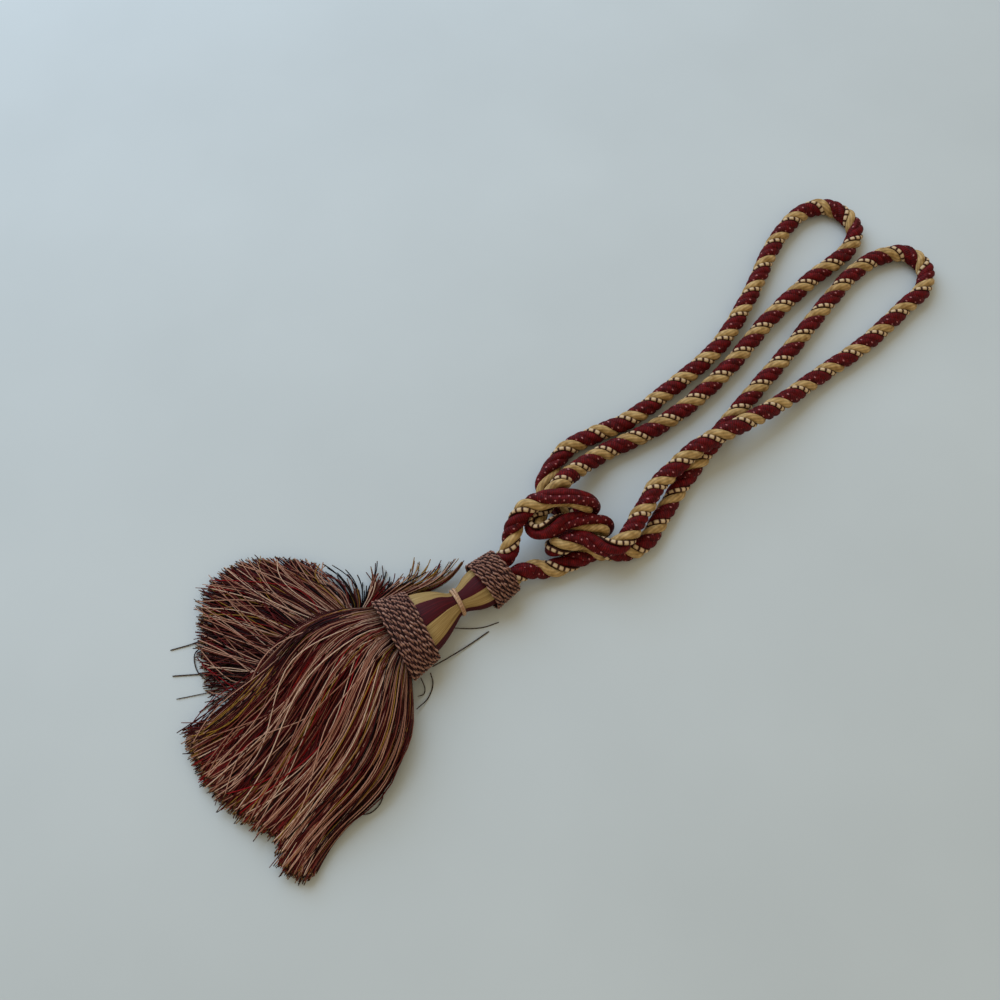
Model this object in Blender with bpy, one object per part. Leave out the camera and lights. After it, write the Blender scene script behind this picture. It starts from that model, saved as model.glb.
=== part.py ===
"""Curtain tieback tassel, modelled as it lies on a table.

A twisted rope leaves the tassel's head, is wound into a knot, makes two long loops and comes back to the
head. The head is a wound band, a neck of satin threads tied in at the waist, and a flared wound collar.
A skirt of cut threads lies spread out of the collar in two lobes, with a few threads bent back beside it.

Metres, +Z up, the table is z = 0. +X runs from the skirt towards the loops.
"""

import math

import bmesh
import bpy
import numpy as np

# ---------------------------------------------------------------- driving dimensions

COLLAR_AT = np.array([0.0267, -0.0199, 0.0])   # the collar's middle, from which every table below measures

# Rope
ROPE_RADIUS = 0.0055
ROPE_STEP = 0.0036           # between two sections, about a sixth of a turn of the twist
ROPE_ON_TABLE = 0.0056       # height of the centre line where the rope lies on the table

# Section of the rope, the crest of each ply and the groove after it: (angle in degrees, share of the radius)
ROPE_SECTION = [
    (0, 1.00), (40, 0.86),       # burgundy
    (80, 1.00), (135, 0.80),     # burgundy with dots
    (190, 1.00), (232, 0.80),    # beige
    (274, 0.95), (317, 0.80),    # beaded cord
]

# Centre line of the rope: (x, y, z)
ROPE_ROUTE = [
    # out of the head and up the knot's left side
    (0.0661, -0.00575, 0.0122), (0.0701, -0.00624, 0.0122), (0.0740, -0.0066, 0.0131),
    (0.0782, -0.0049, 0.0150), (0.0840, -0.0008, 0.0174), (0.0902, 0.0020, 0.0214),
    # first turn, over the top and under
    (0.0983, 0.0022, 0.0256), (0.1068, -0.0019, 0.0282), (0.1141, -0.0076, 0.0288),
    (0.1189, -0.0127, 0.0286), (0.1225, -0.0175, 0.0266), (0.1254, -0.0200, 0.0222),
    (0.1271, -0.0198, 0.0144), (0.1256, -0.0166, 0.0082), (0.1219, -0.0120, 0.0056),
    (0.1184, -0.0061, 0.0056), (0.1171, 0.0004, 0.0056), (0.1181, 0.0061, 0.0056),
    (0.1214, 0.0104, 0.0056), (0.1268, 0.0132, 0.0056), (0.1352, 0.0155, 0.0056),
    # first loop, out and back
    (0.1472, 0.0174, 0.0056), (0.1646, 0.0130, 0.0056), (0.1868, 0.0051, 0.0056),
    (0.2204, 0.0014, 0.0056), (0.2646, 0.0002, 0.0056), (0.3084, 0.0106, 0.0056),
    (0.3514, 0.0250, 0.0056), (0.3814, 0.0280, 0.0056), (0.3962, 0.0214, 0.0056),
    (0.4012, 0.0072, 0.0056), (0.3950, -0.0062, 0.0056), (0.3780, -0.0118, 0.0056),
    (0.3458, -0.0094, 0.0056), (0.3038, -0.0092, 0.0056), (0.2592, -0.0138, 0.0056),
    (0.2220, -0.0138, 0.0056), (0.1928, -0.0094, 0.0056), (0.1618, 0.0000, 0.0066),
    (0.1505, 0.0015, 0.0090),
    # under the first turn and into the second, over the top
    (0.1382, 0.0023, 0.0125), (0.1284, 0.0021, 0.0156), (0.1188, 0.0006, 0.0168),
    (0.1111, -0.0012, 0.0162), (0.1048, -0.0023, 0.0158), (0.1002, -0.0034, 0.0160),
    (0.0970, -0.0048, 0.0168), (0.0950, -0.0069, 0.0180), (0.0947, -0.0098, 0.0194),
    (0.0959, -0.0123, 0.0208), (0.0989, -0.0140, 0.0216), (0.1028, -0.0151, 0.0215),
    (0.1071, -0.0164, 0.0210), (0.1111, -0.0191, 0.0204), (0.1156, -0.0231, 0.0194),
    (0.1204, -0.0287, 0.0181), (0.1234, -0.0320, 0.0163), (0.1248, -0.0333, 0.0119),
    (0.1237, -0.0320, 0.0075), (0.1209, -0.0287, 0.0057), (0.1161, -0.0258, 0.0058),
    (0.1103, -0.0235, 0.0056), (0.1038, -0.0212, 0.0056), (0.0989, -0.0205, 0.0073),
    (0.0961, -0.0208, 0.0113), (0.0963, -0.0225, 0.0153), (0.0987, -0.0252, 0.0170),
    # third turn, over the front
    (0.1054, -0.0278, 0.0164), (0.1098, -0.0319, 0.0162), (0.1125, -0.0374, 0.0164),
    (0.1151, -0.0429, 0.0170), (0.1195, -0.0464, 0.0172), (0.1255, -0.0473, 0.0172),
    (0.1329, -0.0459, 0.0168), (0.1419, -0.0430, 0.0160),
    # second loop, out over itself and back
    (0.1509, -0.0411, 0.0150), (0.1592, -0.0380, 0.0150), (0.1778, -0.0374, 0.0154),
    (0.1980, -0.0386, 0.0168), (0.2176, -0.0438, 0.0170), (0.2396, -0.0492, 0.0136),
    (0.2618, -0.0530, 0.0096), (0.2882, -0.0560, 0.0062), (0.3302, -0.0624, 0.0056),
    (0.3688, -0.0636, 0.0056), (0.3910, -0.0632, 0.0056), (0.4040, -0.0532, 0.0056),
    (0.4036, -0.0396, 0.0056), (0.3902, -0.0296, 0.0056), (0.3694, -0.0254, 0.0056),
    (0.3400, -0.0272, 0.0056), (0.2932, -0.0326, 0.0056), (0.2492, -0.0362, 0.0056),
    (0.2154, -0.0396, 0.0056), (0.1740, -0.0458, 0.0056), (0.1520, -0.0510, 0.0056),
    # under the knot and back into the head
    (0.1386, -0.0539, 0.0056), (0.1318, -0.0535, 0.0056), (0.1257, -0.0509, 0.0056),
    (0.1212, -0.0469, 0.0056), (0.1172, -0.0425, 0.0056), (0.1135, -0.0386, 0.0056),
    (0.1088, -0.0359, 0.0056), (0.1031, -0.0343, 0.0056), (0.0973, -0.0324, 0.0057),
    (0.0902, -0.0292, 0.0060), (0.0841, -0.0252, 0.0069), (0.0810, -0.0224, 0.0084),
    (0.0742, -0.0189, 0.0100), (0.0689, -0.01749, 0.0108), (0.0649, -0.0170, 0.0108),
]

# How the twist runs: (distance along the rope in metres, whole turns made by then). It is nearly even
# in the loops; over the front of the knot's turns it almost stops.
ROPE_TURNS = [
    (-0.020, -2.10), (0.000, -1.20), (0.017, -0.48), (0.029, 0.03), (0.037, 0.27), (0.041, 0.49),
    (0.047, 0.78), (0.053, 0.86), (0.065, 0.83), (0.078, 0.72), (0.084, 0.85), (0.122, 2.97),
    (0.136, 3.30), (0.142, 3.47), (0.155, 4.03), (0.176, 5.04), (0.342, 12.97), (0.430, 17.07),
    (0.499, 19.93), (0.700, 28.92), (0.711, 29.90), (0.740, 30.85), (0.749, 30.86), (0.757, 30.74),
    (0.766, 30.60), (0.779, 30.40), (0.787, 30.28), (0.795, 30.50), (0.835, 31.89), (0.843, 32.28),
    (0.859, 32.55), (0.867, 32.72), (0.875, 32.91), (0.883, 33.32), (0.892, 33.80), (0.915, 34.94),
    (1.008, 38.96), (1.120, 43.93), (1.144, 44.90), (1.162, 45.81), (1.231, 48.89), (1.304, 51.89),
    (1.369, 54.89), (1.390, 55.89), (1.419, 56.95), (1.450, 58.38), (1.484, 60.08), (1.492, 60.42),
    (1.505, 60.74), (1.518, 61.24), (1.535, 61.90), (1.555, 62.80),
]

# Sections across the head: (x, y, z of the centre, heading in degrees, half width, half height)
NECK_SECTIONS = [
    (0.0650, -0.0111, 0.0112, -7, 0.0110, 0.0084),    # inside the band
    (0.0510, -0.0095, 0.0112, -7, 0.0116, 0.0086),    # where it leaves the band
    (0.0455, -0.0087, 0.0112, -8, 0.0102, 0.0079),
    (0.0410, -0.0078, 0.0113, -10, 0.0080, 0.0068),
    (0.0384, -0.0070, 0.0113, -11, 0.0070, 0.0062),   # waist, as wide as the tie
    (0.0345, -0.0062, 0.0113, -11, 0.0070, 0.0062),
    (0.0305, -0.0048, 0.0115, -12, 0.0098, 0.0074),
    (0.0230, -0.0032, 0.0120, -13, 0.0142, 0.0091),
    (0.0145, -0.0018, 0.0123, -15, 0.0172, 0.0100),   # where it enters the collar
    (0.0070, -0.0004, 0.0123, -15, 0.0175, 0.0100),
]
NECK_STRIPES = 8
NECK_POINTS = 32
STRIPE_RELIEF = 0.022        # rise of each stripe, as a share of the section

BAND_START = (0.0513, -0.0096, 0.0112, -7, 0.0152, 0.0127)
BAND_END = (0.0680, -0.0116, 0.0112, -7, 0.0138, 0.0122)
BAND_BORE_START = (0.0122, 0.0092)     # half width and half height of the hole
BAND_BORE_END = (0.0118, 0.0094)
BAND_ROWS = 8
BAND_POINTS = 28

COLLAR_START = (0.0145, -0.0024, 0.0123, -15, 0.0208, 0.0134)
COLLAR_END = (-0.0034, 0.0023, 0.0123, -15, 0.0250, 0.0138)
COLLAR_BORE_START = (0.0184, 0.0107)
COLLAR_BORE_END = (0.0224, 0.0107)
COLLAR_ROWS = 7
COLLAR_POINTS = 32

ROW_RELIEF = 0.0005          # depth of the groove between two rows of wound cord

TIE_AT = (0.03645, -0.0066, 0.0113, -11)
TIE_BORE = (0.0075, 0.0067)  # half width and half height inside the tie
TIE_CORD = 0.0014            # thickness of its cord, which goes round twice
TIE_POINTS = 24

# Plug that gathers the roots of the skirt, inside the collar
PLUG_BACK = (0.0066, -0.0003, 0.0123, -15, 0.0180, 0.0098)
PLUG_FRONT = (-0.0030, 0.0022, 0.0123, -15, 0.0212, 0.0103)
PLUG_COLUMNS = 24
PLUG_ROWS = 8
PLUG_CORNER = 0.98           # 1 would bring its ends to a point
ROOT_SHARE = 0.64            # part of its grid cell that a root fills

# Skirt. Every lock leaves the plug and passes one point at each station. A station gives that point for
# the right edge, the middle and the left edge of the spread: (share of the length, right, middle, left)
MAIN_STATIONS = [
    (0.07, (-0.0145, -0.0245), (-0.0110, 0.0030), (-0.0070, 0.0300)),
    (0.20, (-0.0270, -0.0360), (-0.0270, -0.0015), (-0.0240, 0.0405)),
    (0.42, (-0.0540, -0.0470), (-0.0540, -0.0110), (-0.0520, 0.0415)),
    (0.70, (-0.0830, -0.0520), (-0.0870, -0.0170), (-0.0840, 0.0410)),
    (1.00, (-0.1120, -0.0630), (-0.1190, -0.0200), (-0.1070, 0.0500)),
]
# Heights of the main lobe at those stations: (top of the crown, rise over the second lobe, where that
# rise starts across the spread, from -1 to 1)
MAIN_HEIGHTS = [
    (0.0240, 0.0112, 0.00),
    (0.0255, 0.0078, 0.20),
    (0.0210, 0.0064, 0.52),
    (0.0135, 0.0055, 0.95),
    (0.0075, 0.0000, 1.20),
]
MAIN_LAYERS = 4
# How far the last stretch of a lock reaches, across the spread from right to left
MAIN_REACH = [(-1.0, 0.95), (-0.75, 1.08), (-0.50, 1.12), (-0.42, 0.92), (-0.15, 0.98), (0.10, 1.10),
              (0.45, 1.16), (0.80, 1.10), (1.0, 0.95)]

SECOND_STATIONS = [
    (0.10, (-0.0100, 0.0270), (-0.0140, 0.0210), (-0.0180, 0.0100)),
    (0.28, (-0.0140, 0.0400), (-0.0260, 0.0340), (-0.0400, 0.0170)),
    (0.50, (-0.0110, 0.0540), (-0.0330, 0.0510), (-0.0600, 0.0320)),
    (0.75, (-0.0050, 0.0650), (-0.0410, 0.0750), (-0.0750, 0.0480)),
    (1.00, (0.0020, 0.0750), (-0.0530, 0.1000), (-0.0920, 0.0620)),
]
SECOND_SETTLE = (0.20, 0.0, 0.0, 0.0, 0.0)    # share of the root's height that is left at each station

# Threads bent back round the collar: (height of the lowest, rise to the next one above, share of the fan
# that is open, inner path, outer path)
BACK_STATIONS = [
    (0.0078, 0.0011, 0.0, (0.0002, 0.0236), (-0.0042, 0.0218)),
    (0.0054, 0.0012, 0.0, (-0.0008, 0.0266), (-0.0062, 0.0262)),
    (0.0036, 0.0012, 0.3, (0.0014, 0.0292), (-0.0062, 0.0315)),
    (0.0016, 0.0012, 0.7, (0.0082, 0.0288), (-0.0050, 0.0380)),
    (0.0004, 0.0007, 1.0, (0.0220, 0.0235), (-0.0015, 0.0450)),
    (0.0004, 0.0000, 1.0, (0.0385, 0.0180), (0.0035, 0.0510)),
    (0.0004, 0.0000, 1.0, (0.0560, 0.0152), (0.0095, 0.0570)),
]

LAYER_RISE = 0.00155         # least rise from one layer of locks to the next
LOCK_THICKNESS = 0.0012      # least thickness of a lock
LOCK_THICKEST = 0.0030
LOCK_WIDEST = 0.0036
SECOND_WIDEST = 0.0042
BACK_THREAD = 0.0007         # width and thickness
LOCK_FILL = 0.76             # part of the space between neighbours that a lock takes up
UNEVEN_ENDS = 0.06           # spread of the cut ends, as a share of the last stretch
STAGGER = 0.1                # sideways shift of every other layer, as a share of a column
SEED = 11

# ---------------------------------------------------------------- materials

MATERIALS = {
    # name: (colour, roughness)
    "rope": ((0.16, 0.03, 0.03, 1.0), 0.75),
    "wound_cord": ((0.25, 0.13, 0.11, 1.0), 0.8),
    "satin": ((0.36, 0.22, 0.10, 1.0), 0.45),
    "tie": ((0.55, 0.33, 0.20, 1.0), 0.6),
    "skirt": ((0.20, 0.06, 0.055, 1.0), 0.7),
}


def make_material(name):
    colour, roughness = MATERIALS[name]
    material = bpy.data.materials.new(name)
    material.use_nodes = True
    shader = material.node_tree.nodes["Principled BSDF"]
    shader.inputs["Base Color"].default_value = colour
    shader.inputs["Roughness"].default_value = roughness
    shader.inputs["Metallic"].default_value = 0.0
    return material


# ---------------------------------------------------------------- curves and lofts


def smooth_path(points, step):
    """Points about `step` apart on a centripetal Catmull-Rom curve through the given points."""
    points = np.asarray(points, float)
    ends = np.vstack([2 * points[0] - points[1], points, 2 * points[-1] - points[-2]])
    fine = []
    for a, b, c, d in zip(ends[:-3], ends[1:-2], ends[2:-1], ends[3:]):
        knots = np.cumsum([0.0] + [math.sqrt(np.linalg.norm(q - p)) for p, q in ((a, b), (b, c), (c, d))])
        for t in np.linspace(knots[1], knots[2], 16, endpoint=False):
            fine.append(catmull_rom((a, b, c, d), knots, t))
    fine.append(points[-1])
    fine = np.array(fine)
    along = np.concatenate([[0.0], np.cumsum(np.linalg.norm(np.diff(fine, axis=0), axis=1))])
    count = int(round(along[-1] / step)) + 1
    places = np.linspace(0.0, along[-1], count)
    return np.stack([np.interp(places, along, fine[:, axis]) for axis in range(3)], axis=1)


def catmull_rom(corners, knots, t):
    """Point at `t` on the stretch between the second and the third of four corners."""
    level = [np.asarray(corner) for corner in corners]
    for reach, shift in ((1, 0), (2, 0), (1, 1)):
        last = len(level) - 1
        level = [
            blend(level[i], level[i + 1], knots[i + shift], knots[i + shift + reach], t) for i in range(last)
        ]
    return level[0]


def blend(p, q, start, end, t):
    share = (t - start) / (end - start)
    return (1 - share) * p + share * q


def carried_frames(path):
    """Tangent, normal and side at each point, carried along the path without twist."""
    tangents = np.gradient(path, axis=0)
    tangents /= np.linalg.norm(tangents, axis=1)[:, None]
    normal = np.array([0.0, 0.0, 1.0])
    normals = []
    for tangent in tangents:
        normal = normal - tangent * np.dot(normal, tangent)
        normal /= np.linalg.norm(normal)
        normals.append(normal)
    normals = np.array(normals)
    return tangents, normals, np.cross(tangents, normals)


def section_axes(heading):
    """Directions along and across a section that faces `heading` degrees from +X."""
    angle = math.radians(heading)
    along = np.array([math.cos(angle), math.sin(angle), 0.0])
    across = np.array([-math.sin(angle), math.cos(angle), 0.0])
    return along, across


def oval(section, points, grow=0.0, ripple=None):
    """Oval loop of one section, flattened where it meets the table."""
    x, y, z, heading, half_width, half_height = section
    across = section_axes(heading)[1]
    loop = []
    for i in range(points):
        angle = 2 * math.pi * i / points
        swell = 1.0 if ripple is None else 1.0 + ripple(angle)
        sideways = (half_width + grow) * swell * math.cos(angle)
        upwards = (half_height + grow) * swell * math.sin(angle)
        point = np.array([x, y, z]) + across * sideways
        point[2] = max(0.0, point[2] + upwards)
        loop.append(point)
    return loop


def between(start, end, share):
    """Section a given share of the way from one section to another."""
    return tuple((1 - share) * a + share * b for a, b in zip(start, end))


def add_object(name, material, vertices, faces, smooth=True):
    """One closed mesh object, with its faces turned outwards."""
    mesh = bpy.data.meshes.new(name)
    moved = [tuple(np.asarray(v, float) + COLLAR_AT) for v in vertices]
    mesh.from_pydata(moved, [], faces)
    bm = bmesh.new()
    bm.from_mesh(mesh)
    bmesh.ops.recalc_face_normals(bm, faces=bm.faces)
    bm.to_mesh(mesh)
    bm.free()
    if smooth:
        mesh.shade_smooth()
        mesh.set_sharp_from_angle(angle=math.radians(50))
    mesh.materials.append(material)
    thing = bpy.data.objects.new(name, mesh)
    bpy.context.scene.collection.objects.link(thing)
    return thing


def loft(loops, closed=False):
    """Vertices and quads through equal loops. The ends are capped unless the loops close in a ring."""
    size = len(loops[0])
    vertices = [point for loop in loops for point in loop]
    faces = []
    stretches = len(loops) if closed else len(loops) - 1
    for k in range(stretches):
        here, there = k * size, ((k + 1) % len(loops)) * size
        for i in range(size):
            j = (i + 1) % size
            faces.append((here + i, here + j, there + j, there + i))
    if not closed:
        faces.append(tuple(range(size))[::-1])
        faces.append(tuple(range(len(vertices) - size, len(vertices))))
    return vertices, faces


# ---------------------------------------------------------------- rope, head and ties


def rope_turns(along):
    """Turns of the twist at each distance along the rope, its rate changing gradually."""
    places, turns = np.array(ROPE_TURNS).T
    window = np.linspace(-0.007, 0.007, 15)
    weights = np.cos(window / 0.008 * math.pi / 2) ** 2
    return np.interp(along[:, None] + window, places, turns) @ (weights / weights.sum())


def build_rope(material):
    path = smooth_path(ROPE_ROUTE, ROPE_STEP)
    path[:, 2] = np.maximum(path[:, 2], ROPE_ON_TABLE)
    _, normals, sides = carried_frames(path)
    lengths = np.linalg.norm(np.diff(path, axis=0), axis=1)
    along = np.concatenate([[0.0], np.cumsum(lengths)])
    loops = []
    for centre, normal, side, turns in zip(path, normals, sides, rope_turns(along)):
        loop = []
        for angle, share in ROPE_SECTION:
            a = math.radians(360 * turns + angle)
            loop.append(centre + ROPE_RADIUS * share * (math.cos(a) * normal + math.sin(a) * side))
        loops.append(loop)
    return add_object("rope", material, *loft(loops))


def build_neck(material):
    def stripe(angle):
        return STRIPE_RELIEF * math.cos(NECK_STRIPES * angle)

    loops = [oval(section, NECK_POINTS, ripple=stripe) for section in NECK_SECTIONS]
    return add_object("neck", material, *loft(loops))


def build_wound_ring(name, material, start, end, bore_start, bore_end, rows, points):
    """Ring of cord wound side by side: ridged outside, smooth inside."""
    loops = [oval(start, points, grow=-ROW_RELIEF)]
    for row in range(rows):
        loops.append(oval(between(start, end, (row + 0.5) / rows), points))
        loops.append(oval(between(start, end, (row + 1.0) / rows), points, grow=-ROW_RELIEF))
    loops.append(oval(end[:4] + bore_end, points))
    loops.append(oval(start[:4] + bore_start, points))
    return add_object(name, material, *loft(loops, closed=True))


def build_tie(material):
    """Cord tied twice round the waist, its two turns side by side."""
    along = section_axes(TIE_AT[3])[0]
    # across the tie's own section: (place along the neck, height above the neck), in cord thicknesses
    profile = [(-1.0, 0.35), (-0.5, 1.0), (0.0, 0.72), (0.5, 1.0), (1.0, 0.35), (0.6, 0.0), (-0.6, 0.0)]
    loops = []
    for place, height in profile:
        centre = np.array(TIE_AT[:3]) + along * place * TIE_CORD
        loops.append(oval(tuple(centre) + (TIE_AT[3],) + TIE_BORE, TIE_POINTS, grow=height * TIE_CORD))
    return add_object("waist_tie", material, *loft(loops, closed=True))


# ---------------------------------------------------------------- skirt


def plug_point(section, across_share, up_share):
    """Point of the plug's section: across from -1 to 1, up from 0 to 1."""
    x, y, z, heading, half_width, half_height = section
    across = section_axes(heading)[1]
    rise = half_height * math.sqrt(1.0 - (PLUG_CORNER * across_share) ** 2)
    point = np.array([x, y, z]) + across * across_share * half_width
    point[2] += (2 * up_share - 1) * rise
    return point


def spread_point(station, across_share):
    """Place across the spread at one station, by a parabola through its right edge, middle and left edge."""
    right, middle, left = (np.array(place) for place in station[1:4])
    s = across_share
    return middle + s * (left - right) / 2 + s * s * ((left + right) / 2 - middle)


def ease(x):
    x = min(1.0, max(0.0, x))
    return x * x * (3 - 2 * x)


def main_lock(root, across_share, layer):
    """Centre line of a lock of the main lobe, and its thickness at each station."""
    centres, thicknesses = [root], []
    stagger = (STAGGER if layer % 2 else -STAGGER) * 2 / PLUG_COLUMNS
    for station, (crown, rise, rise_from) in zip(MAIN_STATIONS, MAIN_HEIGHTS):
        place = spread_point(station, across_share + stagger * ease(station[0] / 0.2))
        bottom = rise * ease((across_share - rise_from + 0.12) / 0.12)
        least = LAYER_RISE * (MAIN_LAYERS - 1) + LOCK_THICKNESS
        depth = max(least, crown * math.sqrt(1 - 0.8 * across_share ** 2) - bottom)
        thickness = min(LOCK_THICKEST, max(LOCK_THICKNESS, LOCK_FILL * depth / MAIN_LAYERS))
        height = bottom + thickness / 2 + (depth - thickness) * layer / (MAIN_LAYERS - 1)
        centres.append(np.array([place[0], place[1], height]))
        thicknesses.append(thickness)
    return centres, thicknesses


def second_lock(root, across_share, layer):
    """Centre line of a lock of the second lobe, which lies on the table, and its thickness."""
    centres = [root]
    rest = LOCK_THICKNESS / 2 + LAYER_RISE * layer
    for station, left_over in zip(SECOND_STATIONS, SECOND_SETTLE):
        place = spread_point(station, across_share)
        centres.append(np.array([place[0], place[1], rest + left_over * (root[2] - rest)]))
    return centres, [LOCK_THICKNESS] * len(SECOND_STATIONS)


def back_thread(root, order, count, layer, layers):
    """Centre line of a thread bent back beside the collar."""
    centres = [root]
    for lowest, rise, opened, inner, outer in BACK_STATIONS:
        outward = (order + 0.5 + opened * ((layer + 0.5) / layers - 0.5)) / count
        place = (1 - outward) * np.array(inner) + outward * np.array(outer)
        centres.append(np.array([place[0], place[1], lowest + rise * layer]))
    return centres


def lock_rings(centres, widths, thicknesses):
    """Four-sided rings round the centre line, after the root. They stay level across their width."""
    rings = []
    for centre, flow, width, thickness in zip(centres[1:], flows(centres), widths, thicknesses):
        across = np.array([flow[1], -flow[0], 0.0]) * width / 2
        up = np.array([0.0, 0.0, thickness / 2])
        rings.append([centre - across - up, centre + across - up, centre + across + up, centre - across + up])
    return rings


def flows(centres):
    """Level direction of a lock at each of its stations."""
    centres = np.array(centres)
    tangents = np.gradient(centres, axis=0)
    tangents[-1] = centres[-1] - centres[-2]
    level = tangents[1:, :2]
    return level / np.linalg.norm(level, axis=1)[:, None]


def spread_widths(stations, centres, across_share, widest, columns):
    """Width of a lock at each station, from the room that the spread gives it there."""
    widths = []
    for station, flow in zip(stations, flows(centres)):
        right, middle, left = (np.array(place) for place in station[1:4])
        spread = (left - right) / 2 + 2 * across_share * ((left + right) / 2 - middle)
        room = abs(spread[0] * flow[1] - spread[1] * flow[0]) * 2 / columns
        widths.append(min(widest, LOCK_FILL * room))
    return widths


def last_stretch(centres, share, rest):
    """The centre line with its last stretch made longer or shorter, kept at or above `rest`."""
    tip = centres[-2] + (centres[-1] - centres[-2]) * share
    tip[2] = max(tip[2], rest)
    return centres[:-1] + [tip]


def plan_locks():
    """Every lock of the skirt as {(column, row): rings}."""
    random = np.random.RandomState(SEED)
    second_columns = [c for c in range(PLUG_COLUMNS) if 0 < column_share(c) < 0.75]
    back_columns = [c for c in range(PLUG_COLUMNS) if column_share(c) > 0.75]
    half = PLUG_ROWS // 2
    locks = {}
    for column in range(PLUG_COLUMNS):
        for layer in range(MAIN_LAYERS):
            if abs(column_share(column)) > 0.85 and layer % 2:
                continue                    # the plug is too low there for every layer
            row = half + layer if column_share(column) > 0 else 2 * layer + 1
            share = column_share(column) / column_share(PLUG_COLUMNS - 1)
            centres, thicknesses = main_lock(root_centre(column, row), share, layer)
            reach = np.interp(share, *zip(*MAIN_REACH)) + random.uniform(-UNEVEN_ENDS, UNEVEN_ENDS)
            centres = last_stretch(centres, reach, thicknesses[-1] / 2)
            widths = spread_widths(MAIN_STATIONS, centres, share, LOCK_WIDEST, PLUG_COLUMNS)
            locks[column, row] = lock_rings(centres, widths, thicknesses)
    for order, column in enumerate(second_columns):
        for row in range(half):
            share = 1 - 2 * (order + (row + 0.5) / half) / len(second_columns)
            centres, thicknesses = second_lock(root_centre(column, row), share, row)
            reach = 1.0 + random.uniform(-UNEVEN_ENDS, UNEVEN_ENDS) * 2
            centres = last_stretch(centres, reach, thicknesses[-1] / 2)
            widths = spread_widths(SECOND_STATIONS, centres, share, SECOND_WIDEST, len(second_columns))
            locks[column, row] = lock_rings(centres, widths, thicknesses)
    for order, column in enumerate(reversed(back_columns)):
        for row in range(half):
            if column == PLUG_COLUMNS - 1 and row % 2 == 0:
                continue                    # the plug's end is too low for every thread
            centres = back_thread(root_centre(column, row), order, len(back_columns), row, half)
            reach = 1.0 + random.uniform(-UNEVEN_ENDS, UNEVEN_ENDS) * 4
            centres = last_stretch(centres, reach, BACK_THREAD / 2)
            size = [BACK_THREAD] * len(BACK_STATIONS)
            locks[column, row] = lock_rings(centres, size, size)
    return locks


def column_share(column):
    """Place of a column across the plug, from -1 at the right to 1 at the left."""
    return 2 * (column + 0.5) / PLUG_COLUMNS - 1


def root_centre(column, row):
    return plug_point(PLUG_FRONT, column_share(column), (row + 0.5) / PLUG_ROWS)


def grid_lines(cells):
    """The edges of each root along one side of the plug's grid, as shares from 0 to 1."""
    lines = [0.0]
    for cell in range(cells):
        middle = (cell + 0.5) / cells
        lines += [middle - ROOT_SHARE / 2 / cells, middle + ROOT_SHARE / 2 / cells]
    return lines + [1.0]


def build_skirt(material):
    """Plug and locks in one mesh: each lock grows out of its own cell of the plug's front grid."""
    locks = plan_locks()
    ups = grid_lines(PLUG_ROWS)
    acrosses = [2 * share - 1 for share in grid_lines(PLUG_COLUMNS)]
    vertices, faces, index = [], [], {}
    for a, across_share in enumerate(acrosses):
        for u, up_share in enumerate(ups):
            index[a, u] = len(vertices)
            vertices.append(plug_point(PLUG_FRONT, across_share, up_share))
    for a in range(len(acrosses) - 1):
        for u in range(len(ups) - 1):
            cell = (index[a, u], index[a + 1, u], index[a + 1, u + 1], index[a, u + 1])
            key = ((a - 1) // 2, (u - 1) // 2)
            if a % 2 and u % 2 and key in locks:
                grow_lock(cell, locks[key], vertices, faces)
            else:
                faces.append(cell)
    close_plug(acrosses, ups, index, vertices, faces)
    return add_object("skirt", material, vertices, faces, smooth=False)


def grow_lock(cell, rings, vertices, faces):
    """Walls of one lock from its root cell to its cut end."""
    ring = cell
    for corners in rings:
        start = len(vertices)
        vertices.extend(corners)
        following = tuple(range(start, start + 4))
        for i in range(4):
            j = (i + 1) % 4
            faces.append((ring[i], ring[j], following[j], following[i]))
        ring = following
    faces.append(ring)


def close_plug(acrosses, ups, index, vertices, faces):
    """Sides and back of the plug."""
    last_a, last_u = len(acrosses) - 1, len(ups) - 1
    rim = [(a, 0) for a in range(last_a)] + [(last_a, u) for u in range(last_u)]
    rim += [(a, last_u) for a in range(last_a, 0, -1)] + [(0, u) for u in range(last_u, 0, -1)]
    back = []
    for a, u in rim:
        back.append(len(vertices))
        vertices.append(plug_point(PLUG_BACK, acrosses[a], ups[u]))
    for i in range(len(rim)):
        j = (i + 1) % len(rim)
        faces.append((index[rim[i]], index[rim[j]], back[j], back[i]))
    faces.append(tuple(back))


# ---------------------------------------------------------------- the tassel


def main():
    for thing in list(bpy.data.objects):
        bpy.data.objects.remove(thing, do_unlink=True)
    build_rope(make_material("rope"))
    build_neck(make_material("satin"))
    wound = make_material("wound_cord")
    build_wound_ring("head_band", wound, BAND_START, BAND_END, BAND_BORE_START, BAND_BORE_END,
                     BAND_ROWS, BAND_POINTS)
    build_wound_ring("collar", wound, COLLAR_START, COLLAR_END, COLLAR_BORE_START, COLLAR_BORE_END,
                     COLLAR_ROWS, COLLAR_POINTS)
    build_tie(make_material("tie"))
    build_skirt(make_material("skirt"))


main()
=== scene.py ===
"""Curtain tieback tassel: rope plies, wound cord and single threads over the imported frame."""

import math
from collections import namedtuple
from functools import cached_property

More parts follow.
